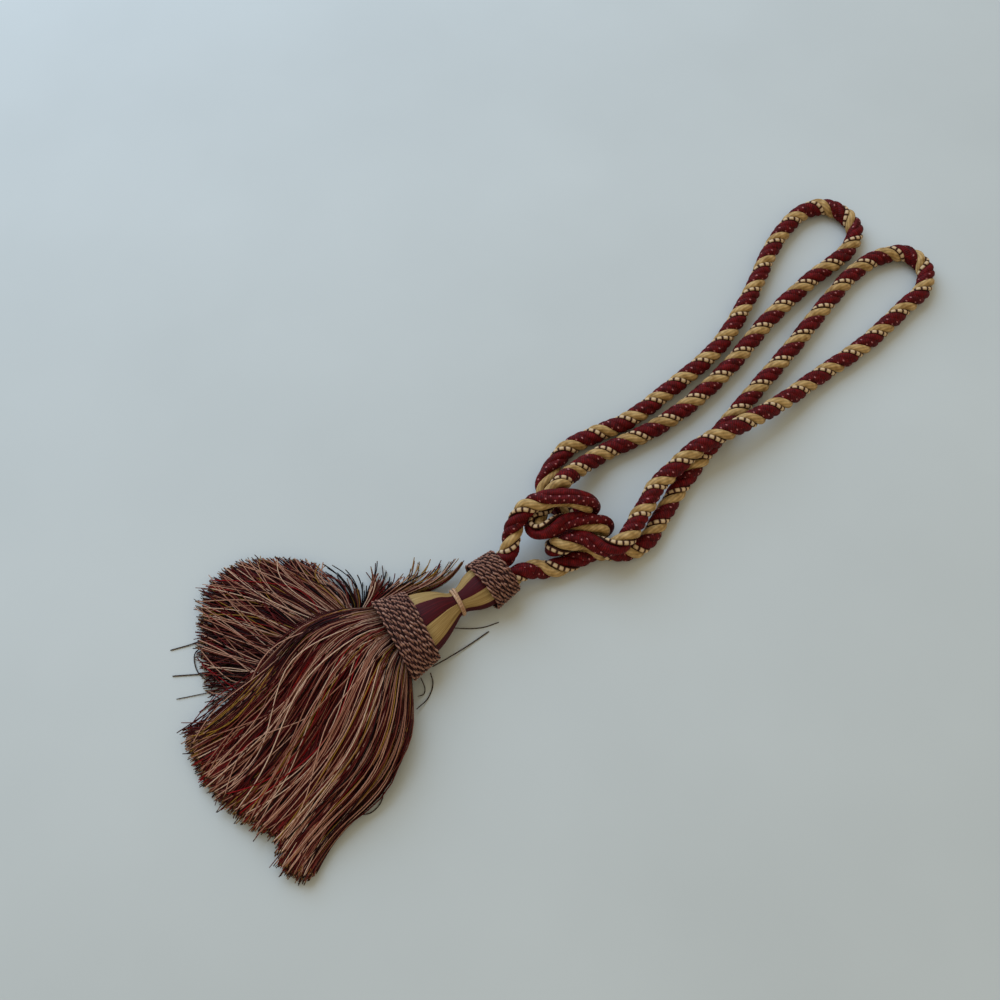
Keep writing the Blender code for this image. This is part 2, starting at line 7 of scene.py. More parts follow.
import bpy
import numpy as np
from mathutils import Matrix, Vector


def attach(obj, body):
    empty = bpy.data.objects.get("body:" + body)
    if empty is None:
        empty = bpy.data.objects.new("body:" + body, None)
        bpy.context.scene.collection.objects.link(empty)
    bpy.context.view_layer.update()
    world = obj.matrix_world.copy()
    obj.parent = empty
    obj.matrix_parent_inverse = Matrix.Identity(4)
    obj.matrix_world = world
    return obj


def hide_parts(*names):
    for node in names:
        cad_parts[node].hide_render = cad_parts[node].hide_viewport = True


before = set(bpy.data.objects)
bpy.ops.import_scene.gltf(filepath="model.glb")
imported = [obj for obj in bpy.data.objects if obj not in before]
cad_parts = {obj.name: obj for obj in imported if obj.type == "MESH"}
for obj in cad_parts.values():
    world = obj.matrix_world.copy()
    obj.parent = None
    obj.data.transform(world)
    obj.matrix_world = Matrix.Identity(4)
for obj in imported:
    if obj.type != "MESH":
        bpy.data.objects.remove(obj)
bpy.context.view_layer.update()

MM = 0.001
COLLAR_AT = np.array([0.0267, -0.0199, 0.0])  # the collar's middle, from which the tables measure
random = np.random.RandomState(7)
uniform = random.uniform

# ---- the rope's route

ROPE_ON_TABLE = 0.0056  # height of the rope's middle line where it lies on the table
BEAD = 0.0034  # length of one bead of the beaded ply
BEAD_WAIST = 0.86  # thickness between two beads, as a share of a bead's own

# Points of the rope's middle line, from one end in the head to the other.
ROPE_ROUTE = [
    # out of the head and up the knot's left side
    (0.0661, -0.00575, 0.0122), (0.0701, -0.00624, 0.0122), (0.0740, -0.0066, 0.0131),
    (0.0782, -0.0049, 0.0150), (0.0840, -0.0008, 0.0174), (0.0902, 0.0020, 0.0214),
    # first turn, over the top and under
    (0.0983, 0.0022, 0.0256), (0.1068, -0.0019, 0.0282), (0.1141, -0.0076, 0.0288),
    (0.1189, -0.0127, 0.0286), (0.1225, -0.0175, 0.0266), (0.1254, -0.0200, 0.0222),
    (0.1271, -0.0198, 0.0144), (0.1256, -0.0166, 0.0082), (0.1219, -0.0120, 0.0056),
    (0.1184, -0.0061, 0.0056), (0.1171, 0.0004, 0.0056), (0.1181, 0.0061, 0.0056),
    (0.1214, 0.0104, 0.0056), (0.1268, 0.0132, 0.0056), (0.1352, 0.0155, 0.0056),
    # first loop, out and back
    (0.1472, 0.0174, 0.0056), (0.1646, 0.0130, 0.0056), (0.1868, 0.0051, 0.0056),
    (0.2204, 0.0014, 0.0056), (0.2646, 0.0002, 0.0056), (0.3084, 0.0106, 0.0056),
    (0.3514, 0.0250, 0.0056), (0.3814, 0.0280, 0.0056), (0.3962, 0.0214, 0.0056),
    (0.4012, 0.0072, 0.0056), (0.3950, -0.0062, 0.0056), (0.3780, -0.0118, 0.0056),
    (0.3458, -0.0094, 0.0056), (0.3038, -0.0092, 0.0056), (0.2592, -0.0138, 0.0056),
    (0.2220, -0.0138, 0.0056), (0.1928, -0.0094, 0.0056), (0.1618, 0.0000, 0.0066),
    (0.1505, 0.0015, 0.0090),
    # under the first turn and into the second, over the top
    (0.1382, 0.0023, 0.0125), (0.1284, 0.0021, 0.0156), (0.1188, 0.0006, 0.0168),
    (0.1111, -0.0012, 0.0162), (0.1048, -0.0023, 0.0158), (0.1002, -0.0034, 0.0160),
    (0.0970, -0.0048, 0.0168), (0.0950, -0.0069, 0.0180), (0.0947, -0.0098, 0.0194),
    (0.0959, -0.0123, 0.0208), (0.0989, -0.0140, 0.0216), (0.1028, -0.0151, 0.0215),
    (0.1071, -0.0164, 0.0210), (0.1111, -0.0191, 0.0204), (0.1156, -0.0231, 0.0194),
    (0.1204, -0.0287, 0.0181), (0.1234, -0.0320, 0.0163), (0.1248, -0.0333, 0.0119),
    (0.1237, -0.0320, 0.0075), (0.1209, -0.0287, 0.0057), (0.1161, -0.0258, 0.0058),
    (0.1103, -0.0235, 0.0056), (0.1038, -0.0212, 0.0056), (0.0989, -0.0205, 0.0073),
    (0.0961, -0.0208, 0.0113), (0.0963, -0.0225, 0.0153), (0.0987, -0.0252, 0.0170),
    # third turn, over the front
    (0.1054, -0.0278, 0.0164), (0.1098, -0.0319, 0.0162), (0.1125, -0.0374, 0.0164),
    (0.1151, -0.0429, 0.0170), (0.1195, -0.0464, 0.0172), (0.1255, -0.0473, 0.0172),
    (0.1329, -0.0459, 0.0168), (0.1419, -0.0430, 0.0160),
    # second loop, out over itself and back
    (0.1509, -0.0411, 0.0150), (0.1592, -0.0380, 0.0150), (0.1778, -0.0374, 0.0154),
    (0.1980, -0.0386, 0.0168), (0.2176, -0.0438, 0.0170), (0.2396, -0.0492, 0.0136),
    (0.2618, -0.0530, 0.0096), (0.2882, -0.0560, 0.0062), (0.3302, -0.0624, 0.0056),
    (0.3688, -0.0636, 0.0056), (0.3910, -0.0632, 0.0056), (0.4040, -0.0532, 0.0056),
    (0.4036, -0.0396, 0.0056), (0.3902, -0.0296, 0.0056), (0.3694, -0.0254, 0.0056),
    (0.3400, -0.0272, 0.0056), (0.2932, -0.0326, 0.0056), (0.2492, -0.0362, 0.0056),
    (0.2154, -0.0396, 0.0056), (0.1740, -0.0458, 0.0056), (0.1520, -0.0510, 0.0056),
    # under the knot and back into the head
    (0.1386, -0.0539, 0.0056), (0.1318, -0.0535, 0.0056), (0.1257, -0.0509, 0.0056),
    (0.1212, -0.0469, 0.0056), (0.1172, -0.0425, 0.0056), (0.1135, -0.0386, 0.0056),
    (0.1088, -0.0359, 0.0056), (0.1031, -0.0343, 0.0056), (0.0973, -0.0324, 0.0057),
    (0.0902, -0.0292, 0.0060), (0.0841, -0.0252, 0.0069), (0.0810, -0.0224, 0.0084),
    (0.0742, -0.0189, 0.0100), (0.0689, -0.01749, 0.0108), (0.0649, -0.0170, 0.0108),
]

# How the twist runs: (distance along the rope in metres, whole turns made by then). It is nearly even
# in the loops; over the front of the knot's turns it almost stops.
ROPE_TURNS = [
    (-0.020, -2.10), (0.000, -1.20), (0.017, -0.48), (0.029, 0.03), (0.037, 0.27), (0.041, 0.49),
    (0.047, 0.78), (0.053, 0.86), (0.065, 0.83), (0.078, 0.72), (0.084, 0.85), (0.122, 2.97),
    (0.136, 3.30), (0.142, 3.47), (0.155, 4.03), (0.176, 5.04), (0.342, 12.97), (0.430, 17.07),
    (0.499, 19.93), (0.700, 28.92), (0.711, 29.90), (0.740, 30.85), (0.749, 30.86), (0.757, 30.74),
    (0.766, 30.60), (0.779, 30.40), (0.787, 30.28), (0.795, 30.50), (0.835, 31.89), (0.843, 32.28),
    (0.859, 32.55), (0.867, 32.72), (0.875, 32.91), (0.883, 33.32), (0.892, 33.80), (0.915, 34.94),
    (1.008, 38.96), (1.120, 43.93), (1.144, 44.90), (1.162, 45.81), (1.231, 48.89), (1.304, 51.89),
    (1.369, 54.89), (1.390, 55.89), (1.419, 56.95), (1.450, 58.38), (1.484, 60.08), (1.492, 60.42),
    (1.505, 60.74), (1.518, 61.24), (1.535, 61.90), (1.555, 62.80),
]

# The rope's four twisted parts: (angle in degrees, distance of its line from the rope's, radius,
# sides, step along the rope), in millimetres.
ROPE_PLIES = {
    "burgundy": (0, 2.85, 2.66, 16, 0.9),
    "highlight_dots": (80, 2.90, 2.60, 16, 0.9),
    "beige": (190, 3.02, 2.46, 16, 0.9),
    "beads": (274, 3.72, 1.52, 12, 0.5),
}

# ---- head

# Oval cross-sections of the head: (x, y, z, heading in degrees, half width, half height)
NECK_SECTIONS = [
    (0.0650, -0.0111, 0.0112, -7, 0.0110, 0.0084),
    (0.0510, -0.0095, 0.0112, -7, 0.0116, 0.0086),
    (0.0455, -0.0087, 0.0112, -8, 0.0102, 0.0079),
    (0.0410, -0.0078, 0.0113, -10, 0.0080, 0.0068),
    (0.0384, -0.0070, 0.0113, -11, 0.0070, 0.0062),
    (0.0345, -0.0062, 0.0113, -11, 0.0070, 0.0062),
    (0.0305, -0.0048, 0.0115, -12, 0.0098, 0.0074),
    (0.0230, -0.0032, 0.0120, -13, 0.0142, 0.0091),
    (0.0145, -0.0018, 0.0123, -15, 0.0172, 0.0100),
    (0.0070, -0.0004, 0.0123, -15, 0.0175, 0.0100),
]
BAND_START = (0.0513, -0.0096, 0.0112, -7, 0.0152, 0.0127)
BAND_END = (0.0680, -0.0116, 0.0112, -7, 0.0138, 0.0122)
COLLAR_START = (0.0145, -0.0024, 0.0123, -15, 0.0208, 0.0134)
COLLAR_END = (-0.0034, 0.0023, 0.0123, -15, 0.0250, 0.0138)
TIE_AT = (0.03645, -0.0066, 0.0113, -11)
TIE_HALF_SIZE = (0.0074, 0.0069)
TIE_RADIUS = 0.00075
TIE_TURNS = [(-0.62, 0.05), (0.66, 0.12)]  # (place along the neck in mm, lean)

STRIPES = 4  # pairs of a light and a dark stripe round the neck
STRIPE_START = 3.30  # turn of the first pair round the neck, in pairs
NECK_GROOVE = 0.018  # swell of a stripe over the grooves beside it, as a share of its radius
NECK_GROOVE_TURN = 7.5  # degrees

# The wound cord's parts, as shares of its radius
STRAND_RADII = (0.64, 0.50)  # the light strand and the dark one
STRAND_REACH = 0.52  # from the cord's middle to a strand's
CORD_DEPTH = 0.95  # from the outside of the winding to the cord's middle
SLEEVE_DEPTH = 1.25  # from the outside of the winding to the sleeve under it
SLACK = 0.35  # how far a row strays sideways at most

SLEEVE_WALL = 0.0008
ROW_STEPS = 150  # points along a row
ROW_LAG = 1.9  # turn of the twist from one row to the next, in radians

# ---- skirt

PLUG_FRONT = (-0.0030, 0.0022, 0.0123, -15, 0.0212, 0.0103)  # an oval section, where the threads start
# Places that the threads pass: (share of the length, right side, middle, left side of the lobe)
MAIN_STATIONS = [
    (0.07, (-0.0145, -0.0245), (-0.0110, 0.0030), (-0.0070, 0.0300)),
    (0.20, (-0.0270, -0.0360), (-0.0270, -0.0015), (-0.0240, 0.0405)),
    (0.42, (-0.0540, -0.0475), (-0.0540, -0.0115), (-0.0525, 0.0400)),
    (0.70, (-0.0852, -0.0488), (-0.0870, -0.0180), (-0.0865, 0.0370)),
    (1.00, (-0.1155, -0.0555), (-0.1190, -0.0200), (-0.1120, 0.0430)),
]
# Heights of the main lobe at those stations: (top of the crown, rise over the second lobe, where that
# rise starts across the spread, from -1 to 1)
MAIN_HEIGHTS = [
    (0.0240, 0.0112, 0.00),
    (0.0255, 0.0078, 0.20),
    (0.0210, 0.0064, 0.52),
    (0.0135, 0.0055, 0.95),
    (0.0070, 0.0000, 1.20),
]
# How far the cut rim reaches at each place across the spread
MAIN_REACH = [(-1.0, 0.86), (-0.75, 0.98), (-0.50, 1.00), (-0.42, 0.84), (-0.15, 0.77), (0.10, 0.90),
              (0.45, 1.12), (0.80, 1.14), (1.0, 1.00)]
SECOND_STATIONS = [
    (0.10, (-0.0055, 0.0285), (-0.0140, 0.0210), (-0.0180, 0.0100)),
    (0.28, (-0.0070, 0.0400), (-0.0260, 0.0340), (-0.0400, 0.0170)),
    (0.50, (-0.0075, 0.0520), (-0.0330, 0.0510), (-0.0600, 0.0320)),
    (0.75, (-0.0075, 0.0625), (-0.0410, 0.0750), (-0.0760, 0.0470)),
    (1.00, (-0.0050, 0.0735), (-0.0510, 0.1005), (-0.0910, 0.0575)),
]
SECOND_TOP = [(0.0, 0.0100), (0.1, 0.0078), (0.28, 0.0066), (0.5, 0.0068), (1.0, 0.0060)]
# Threads bent back past the collar: (share of the length, side next to the neck, side away from it,
# height)
BACK_STATIONS = [
    (0.10, (-0.0035, 0.0225), (-0.0060, 0.0262), 0.0068),
    (0.22, (0.0020, 0.0240), (-0.0030, 0.0300), 0.0070),
    (0.38, (0.0120, 0.0208), (0.0020, 0.0330), 0.0090),
    (0.60, (0.0270, 0.0140), (0.0080, 0.0400), 0.0110),
    (0.80, (0.0430, 0.0095), (0.0120, 0.0470), 0.0110),
    (1.00, (0.0600, 0.0125), (0.0150, 0.0560), 0.0100),
]
THREAD = 0.00028  # radius of a skirt thread
BUNCHING = 0.9  # below 1, a thread's steps lie closer together towards its cut end
CUT_FROM = 0.975  # last step before the cut end, as a share of the length
BLACK_ENDS = 0.38  # share of the cut ends that are black
STAINED_ENDS = 0.62  # share of the cut ends that are black or tan
THINNEST = 0.0058  # thickness of the main lobe at its edges
RISE_WIDTH = 0.12  # share of the spread over which it rises onto the second lobe

# How a lobe's threads stray, in shares of its half spread: in clumps, and lock by lock to one side
# (wander), in an arc (curl) and to and fro (wave, with `waves` radians along the length)
Stray = namedtuple("Stray", "seed clump_size clump wander curl wave waves locks own")
MAIN_STRAY = Stray(3, 11.0, 0.05, 0.022, 0.030, 0.036, 7.0, 34, 0.8)
SECOND_STRAY = Stray(13, 10.0, 0.07, 0.060, 0.070, 0.050, 6.0, 22, 0.7)

# How many threads of each kind: in the main lobe, in the second, and bent back
INSIDE, EDGE, TOP, OVER = 840, 180, 520, 150
LOWER, LOWER_OVER = 620, 130
BUSH, BESIDE, LOOSE = 250, 120, 64

# Single dark threads on the table: radius, then points, in mm
STRAYS = [
    (0.38, [(3.4, -20.9, 4), (14, -23.2, 2), (26, -25.5, 0.8), (39.1, -27.6, 0.4)]),
    (0.28, [(24, -11, 5), (30, -16.5, 1), (38, -23.5, 0.4), (46.6, -27.8, 0.4)]),
    (0.34, [(0.4, -22.3, 3), (-2.6, -27.2, 0.6), (-9.6, -30.8, 0.5), (-18.1, -31.3, 3)]),
    (0.28, [(-5, -20.5, 3), (-7.4, -26.2, 0.6), (-9.6, -27.7, 0.5), (-13, -26.7, 2.5)]),
    (0.30, [(-52, -42, 4), (-56.3, -47.5, 1.5), (-63, -52.6, 0.5), (-70.6, -52.7, 0.5),
            (-77, -47.5, 3)]),
    (0.30, [(-34, -32, 5), (-39.9, -42.5, 1), (-45.1, -45.9, 0.5), (-51, -43, 3)]),
    (0.36, [(-70, 52, 2.5), (-81, 59.5, 1), (-87.5, 65.3, 0.5), (-98.3, 74.7, 0.4)]),
    (0.24, [(-76, 48, 2), (-87.9, 52.8, 0.8), (-96, 57.8, 0.4), (-104.4, 63.3, 0.4)]),
    (0.32, [(-72, 43, 3), (-84, 46.6, 1), (-92.3, 48.1, 0.5), (-100.1, 49.2, 0.5)]),
    (0.32, [(-70, 72, 2), (-81.5, 76, 1), (-87, 68, 0.5), (-86.6, 60, 0.5),
            (-82, 50, 1.5)]),
    (0.34, [(-66, 70, 2), (-73.5, 77.9, 1), (-81.8, 82.2, 0.5), (-90.4, 86.9, 0.4)]),
]
NEAR_BLACK, PALE, GOLD, RED = 0.03, 0.74, 0.88, 0.96  # places on the threads' colour ramp
# Coloured threads that show at the rim: (spread from, spread to, tone, how many)
RIM_PATCHES = [
    (0.86, 1.00, PALE, 34),
    (0.80, 0.99, GOLD, 18),
    (0.62, 0.80, RED, 26),
    (0.16, 0.40, GOLD, 26),
    (-0.02, 0.14, RED, 16),
    (-0.70, -0.50, GOLD, 12),
]

# ---- stage values

FLOOR_AT = (0.1, 0.0, 0.0)
FLOOR_SIZE = 6.0
SKY_COLOUR = (0.92, 0.84, 0.64, 1.0)
SKY_STRENGTH = 0.57
WINDOW_AT = (0.4, 1.3, 1.15)
WINDOW_SIZE = 1.8
WINDOW_COLOUR = (0.50, 0.70, 1.0)
WINDOW_ENERGY = 34.0
CAMERA_AT = (-0.0673, -0.1425, 0.5282)  # from the collar's middle
CAMERA_TURN = (24.0, 0.0, -45.0)  # degrees
CAMERA_LENS = 36.0  # mm, as is the sensor's width

# ---- geometry helpers


def smooth_path(points, step):
    """Points about `step` apart on a centripetal Catmull-Rom curve through the given points."""
    points = np.asarray(points, float)
    ends = np.vstack([2 * points[0] - points[1], points, 2 * points[-1] - points[-2]])
    fine = []
    for a, b, c, d in zip(ends[:-3], ends[1:-2], ends[2:-1], ends[3:]):
        t1 = math.sqrt(np.linalg.norm(b - a))
        t2 = t1 + math.sqrt(np.linalg.norm(c - b))
        t3 = t2 + math.sqrt(np.linalg.norm(d - c))
        t = np.linspace(t1, t2, 16, endpoint=False)[:, None]
        ab = (t1 - t) / t1 * a + t / t1 * b
        bc = (t2 - t) / (t2 - t1) * b + (t - t1) / (t2 - t1) * c
        cd = (t3 - t) / (t3 - t2) * c + (t - t2) / (t3 - t2) * d
        abc = (t2 - t) / t2 * ab + t / t2 * bc
        bcd = (t3 - t) / (t3 - t1) * bc + (t - t1) / (t3 - t1) * cd
        fine.extend((t2 - t) / (t2 - t1) * abc + (t - t1) / (t2 - t1) * bcd)
    fine.append(points[-1])
    fine = np.array(fine)
    along = distances(fine)
    places = np.linspace(0.0, along[-1], int(round(along[-1] / step)) + 1)
    return np.stack([np.interp(places, along, fine[:, axis]) for axis in range(3)], axis=1)


def distances(path):
    """Distance along a path at each of its points."""
    return np.concatenate([[0.0], np.cumsum(np.linalg.norm(np.diff(path, axis=0), axis=1))])


def unit(vectors):
    return vectors / np.linalg.norm(vectors, axis=-1, keepdims=True)


def carried_frames(path):
    """Normal and side at each point, carried along the path without twist."""
    tangents = unit(np.gradient(path, axis=0))
    normal = np.array([0.0, 0.0, 1.0])
    normals = []
    for tangent in tangents:
        normal = normal - tangent * np.dot(normal, tangent)
        normal /= np.linalg.norm(normal)
        normals.append(normal)
    normals = np.array(normals)
    return normals, np.cross(tangents, normals)


def section_axes(heading):
    """Directions along and across a section that heads so many degrees from x, both level."""
    angle = np.radians(heading)
    zero = np.zeros_like(angle)
    return (np.stack([np.cos(angle), np.sin(angle), zero], -1),
            np.stack([-np.sin(angle), np.cos(angle), zero], -1))


def ease(x):
    """A smooth step from 0 to 1."""
    x = np.clip(x, 0.0, 1.0)
    return x * x * (3 - 2 * x)


class Tubes:
    """Gathers tubes into one mesh, with their length and turn as UV and some numbers per point."""

    def __init__(self):
        self.points, self.quads, self.uvs, self.slots = [], [], [], []
        self.marks = {}
        self.count = 0

    def add(self, rings, along, slot=0, closed=False, **marks):
        """rings: (tubes, steps, sides, 3). along, in metres, and marks: (tubes, steps)."""
        tubes, steps, sides = rings.shape[:3]
        index = self.count + np.arange(tubes * steps * sides).reshape(tubes, steps, sides)
        nxt = np.roll(index, -1, axis=2)
        stretches = steps if closed else steps - 1
        near, far = np.arange(stretches), np.arange(1, stretches + 1) % steps
        quads = np.stack([index[:, near], nxt[:, near], nxt[:, far], index[:, far]], axis=-1)
        u0 = along[:, :stretches]
        if closed:
            u1 = np.concatenate([along[:, 1:], 2 * along[:, -1:] - along[:, -2:-1]], axis=1)
        else:
            u1 = along[:, 1:]
        v = np.arange(sides) / sides
        uv = np.zeros((tubes, stretches, sides, 4, 2))
        uv[..., 0, 0] = uv[..., 1, 0] = u0[:, :, None]
        uv[..., 2, 0] = uv[..., 3, 0] = u1[:, :, None]
        uv[..., 0, 1] = uv[..., 3, 1] = v
        uv[..., 1, 1] = uv[..., 2, 1] = v + 1 / sides
        self.points.append(rings.reshape(-1, 3))
        self.quads.append(quads.reshape(-1, 4))
        self.uvs.append(uv.reshape(-1, 2))
        self.slots.append(np.full(quads.size // 4, slot))
        for name, values in marks.items():
            spread = np.broadcast_to(np.asarray(values, float)[..., None], (tubes, steps, sides))
            self.marks.setdefault(name, []).append(spread.reshape(-1))
        self.count += tubes * steps * sides
        if not closed:
            for end in (index[:, 0, ::-1], index[:, -1]):
                self.cap(end, slot)

    def cap(self, loops, slot):
        """Closes an end of each tube."""
        sides = loops.shape[1]
        for i in range(0, sides - 2, 2):
            self.quads.append(loops[:, [0, i + 1, i + 2, (i + 3) % sides]])
            self.uvs.append(np.zeros((len(loops) * 4, 2)))
            self.slots.append(np.full(len(loops), slot))

    def build(self, name, materials):
        """One object from all the tubes, its material slots in the given order."""
        points = np.concatenate(self.points) + COLLAR_AT
        quads = np.concatenate(self.quads)
        mesh = bpy.data.meshes.new(name)
        mesh.vertices.add(len(points))
        mesh.vertices.foreach_set("co", points.ravel())
        mesh.loops.add(quads.size)
        mesh.loops.foreach_set("vertex_index", quads.ravel())
        mesh.polygons.add(len(quads))
        mesh.polygons.foreach_set("loop_start", np.arange(len(quads)) * 4)
        for material in materials:
            mesh.materials.append(material)
        mesh.polygons.foreach_set("material_index", np.concatenate(self.slots))
        mesh.update(calc_edges=True)
        mesh.uv_layers.new(name="thread").data.foreach_set("uv", np.concatenate(self.uvs).ravel())
        for mark, values in self.marks.items():
            layer = mesh.attributes.new(mark, "FLOAT", "POINT")
            layer.data.foreach_set("value", np.concatenate(values))
        mesh.shade_smooth()
        mesh.validate()
        thing = bpy.data.objects.new(name, mesh)
        bpy.context.scene.collection.objects.link(thing)
        return thing


def full_circle(count):
    """Angles evenly spaced once round."""
    return 2 * math.pi * np.arange(count) / count


def tube_rings(paths, normals, sides_dir, radii, count):
    """Rings round many paths: (tubes, steps, 3) -> (tubes, steps, count, 3)."""
    angle = full_circle(count)[:, None]
    out = np.cos(angle) * normals[..., None, :] + np.sin(angle) * sides_dir[..., None, :]
    return paths[..., None, :] + np.asarray(radii)[..., None, None] * out


def lying_rings(paths, radii, count):
    """Rings round threads that lie more or less level."""
    tangents = unit(np.gradient(paths, axis=1))
    sides_dir = unit(np.cross(tangents, np.array([0.0, 0.0, 1.0])))
    return tube_rings(paths, np.cross(sides_dir, tangents), sides_dir, radii, count)


def spline_basis(knots, samples):
    """Matrix that turns values at the knots into a natural cubic spline at the samples."""
    knots, n = np.asarray(knots, float), len(knots)
    h = np.diff(knots)
    system, right = np.eye(n), np.zeros((n, n))
    for i in range(1, n - 1):
        system[i, i - 1:i + 2] = h[i - 1], 2 * (h[i - 1] + h[i]), h[i]
        right[i, i - 1:i + 2] = 6 / h[i - 1], -6 / h[i - 1] - 6 / h[i], 6 / h[i]
    bend = np.linalg.solve(system, right)
    basis = np.zeros((len(samples), n))
    for row, x in enumerate(samples):
        i = int(np.clip(np.searchsorted(knots, x) - 1, 0, n - 2))
        a, b = (knots[i + 1] - x) / h[i], (x - knots[i]) / h[i]
        basis[row, i] += a
        basis[row, i + 1] += b
        basis[row] += ((a ** 3 - a) * bend[i] + (b ** 3 - b) * bend[i + 1]) * h[i] ** 2 / 6
    return basis


# ---- materials


def linear(value):
    """Linear light from a display value of 0 to 255."""
    return value / 255 / 12.92 if value < 10 else ((value / 255 + 0.055) / 1.055) ** 2.4


def colour(r, g, b):
    return (linear(r), linear(g), linear(b), 1.0)


class Shader:
    """A material's nodes, with short names for the ones used here."""

    def __init__(self, name, roughness, sheen=0.0):
        self.material = bpy.data.materials.new(name)
        self.material.use_nodes = True
        self.nodes = self.material.node_tree.nodes
        self.links = self.material.node_tree.links
        self.out = self.nodes["Principled BSDF"]
        self.out.inputs["Roughness"].default_value = roughness
        self.out.inputs["Sheen Weight"].default_value = sheen
        self.out.inputs["Sheen Roughness"].default_value = 0.4
        self.out.inputs["Specular IOR Level"].default_value = 0.12

    def put(self, value, socket):
        """Links a socket to another, or sets its constant."""
        if isinstance(value, bpy.types.NodeSocket):
            self.links.new(value, socket)
        else:
            socket.default_value = value

    def math(self, operation, a, b=0.0, c=0.0):
        node = self.nodes.new("ShaderNodeMath")
        node.operation = operation
        for value, socket in zip((a, b, c), node.inputs):
            self.put(value, socket)
        return node.outputs[0]

    @cached_property
    def uv(self):
        """Metres along the tube, and turns round it."""
        node = self.nodes.new("ShaderNodeUVMap")
        node.uv_map = "thread"
        split = self.nodes.new("ShaderNodeSeparateXYZ")
        self.links.new(node.outputs[0], split.inputs[0])
        return split.outputs[0], split.outputs[1]

    def mark(self, name):
        """A number that the mesh keeps at each point."""
        node = self.nodes.new("ShaderNodeAttribute")
        node.attribute_name = name
        return node.outputs["Fac"]

    def wave(self, period, turns=0.0):
        """From 0 to 1 and back, once each `period` metres along and `turns` times round the tube."""
        u, v = self.uv
        x = self.math("MULTIPLY", u, 2 * math.pi / period)
        if turns:
            x = self.math("ADD", x, self.math("MULTIPLY", v, 2 * math.pi * turns))
        return self.math("MULTIPLY_ADD", self.math("SINE", x), 0.5, 0.5)

    def outside(self):
        """1 on the tube's outer side, 0 on its inner side."""
        turned = self.math("COSINE", self.math("MULTIPLY", self.uv[1], 2 * math.pi))
        return self.math("MULTIPLY_ADD", turned, 0.5, 0.5)

    def noise_at(self, place, scale, detail):
        node = self.nodes.new("ShaderNodeTexNoise")
        node.inputs["Scale"].default_value = scale
        node.inputs["Detail"].default_value = detail
        self.links.new(place, node.inputs["Vector"])
        return node.outputs["Fac"]

    def noise(self, scale, detail=2.0):
        """Even noise over the surface, `scale` to the metre."""
        coordinates = self.nodes.new("ShaderNodeTexCoord")
        return self.noise_at(coordinates.outputs["Object"], scale, detail)

    def streaks(self, along, across):
        """Noise drawn out along the thread."""
        place = self.nodes.new("ShaderNodeCombineXYZ")
        for coordinate, scale, socket in zip(self.uv, (along, across), place.inputs):
            self.links.new(self.math("MULTIPLY", coordinate, scale), socket)
        return self.noise_at(place.outputs[0], 1.0, 2.0)

    def ramp(self, factor, stops, constant=False):
        """Colour by the factor, through the stops (place, display colour)."""
        node = self.nodes.new("ShaderNodeValToRGB")
        node.color_ramp.interpolation = "CONSTANT" if constant else "LINEAR"
        elements = node.color_ramp.elements
        while len(elements) < len(stops):
            elements.new(0.5)
        for element, (place, rgb) in zip(elements, stops):
            element.position = place
            element.color = colour(*rgb)
        self.put(factor, node.inputs[0])
        return node.outputs["Color"]

    def mix(self, factor, a, b, blend="MIX"):
        node = self.nodes.new("ShaderNodeMix")
        node.data_type = "RGBA"
        node.blend_type = blend
        self.put(factor, node.inputs[0])
        self.put(a, node.inputs[6])
        self.put(b, node.inputs[7])
        return node.outputs[2]

    def shade(self, rgb, factor, darkest):
        """The colour, darkened to `darkest` of itself where the factor is 0."""
        grey = self.math("MULTIPLY_ADD", factor, 1 - darkest, darkest)
        joined = self.nodes.new("ShaderNodeCombineColor")
        for socket in joined.inputs[:3]:
            self.links.new(grey, socket)
        return self.mix(1.0, rgb, joined.outputs[0], "MULTIPLY")

    def finish(self, rgb, height=None, depth=0.0002, strength=0.6):
        """The material, with its colour and a relief `depth` deep."""
        self.links.new(rgb, self.out.inputs["Base Color"])
        if height is not None:
            bump = self.nodes.new("ShaderNodeBump")
            bump.inputs["Distance"].default_value = depth
            bump.inputs["Strength"].default_value = strength
            self.links.new(height, bump.inputs["Height"])
            self.links.new(bump.outputs[0], self.out.inputs["Normal"])
        return self.material


def burgundy_ply():
    s = Shader("burgundy_ply", 0.62)
    ribs = s.wave(0.95 * MM, 1.0)
    rgb = s.ramp(s.noise(420.0), [(0.25, (66, 6, 7)), (0.55, (104, 9, 12)), (0.8, (138, 22, 24))])
    # Painted shade: the colour darkened in the grooves between the ribs.
    return s.finish(s.shade(rgb, ribs, 0.55), ribs, 0.00025, 0.7)


def beige_ply():
    s = Shader("beige_ply", 0.5)
    strands = s.wave(2.6 * MM, 7.0)
    rgb = s.ramp(s.noise(260.0), [(0.3, (156, 118, 66)), (0.55, (192, 154, 98)),
                                  (0.8, (216, 180, 124))])
    # Painted shade: the colour darkened in the grooves between the strands.
    return s.finish(s.shade(rgb, strands, 0.72), strands, 0.00015, 0.6)


def bead_cord():
    """A brown cord with pale beads on its outer side: painted highlight in each bead's middle, and
    painted shade partly darkening the gaps and the side towards the rope.
    """
    s = Shader("bead_cord", 0.6)
    swell = s.wave(BEAD)
    along = s.math("MULTIPLY", swell, 1.5)
    # Painted shade: the cord kept dark on its side towards the rope.
    across = s.math("MULTIPLY_ADD", s.outside(), 3.4, -2.35)
    place = s.math("MINIMUM", along, across)
    place = s.math("MULTIPLY_ADD", s.noise(900.0), 0.2, s.math("SUBTRACT", place, 0.1))
    # Each bead rises from darker edges to a painted highlight in its middle; the darkest stops are the
    # cord's own brown, deepened as painted shade in the gaps.
    rgb = s.ramp(place, [(0.0, (50, 22, 14)), (0.22, (66, 32, 20)), (0.36, (152, 118, 84)),
                         (0.6, (190, 158, 118)), (1.0, (208, 178, 140))])
    return s.finish(rgb, swell, 0.0001, 0.4)


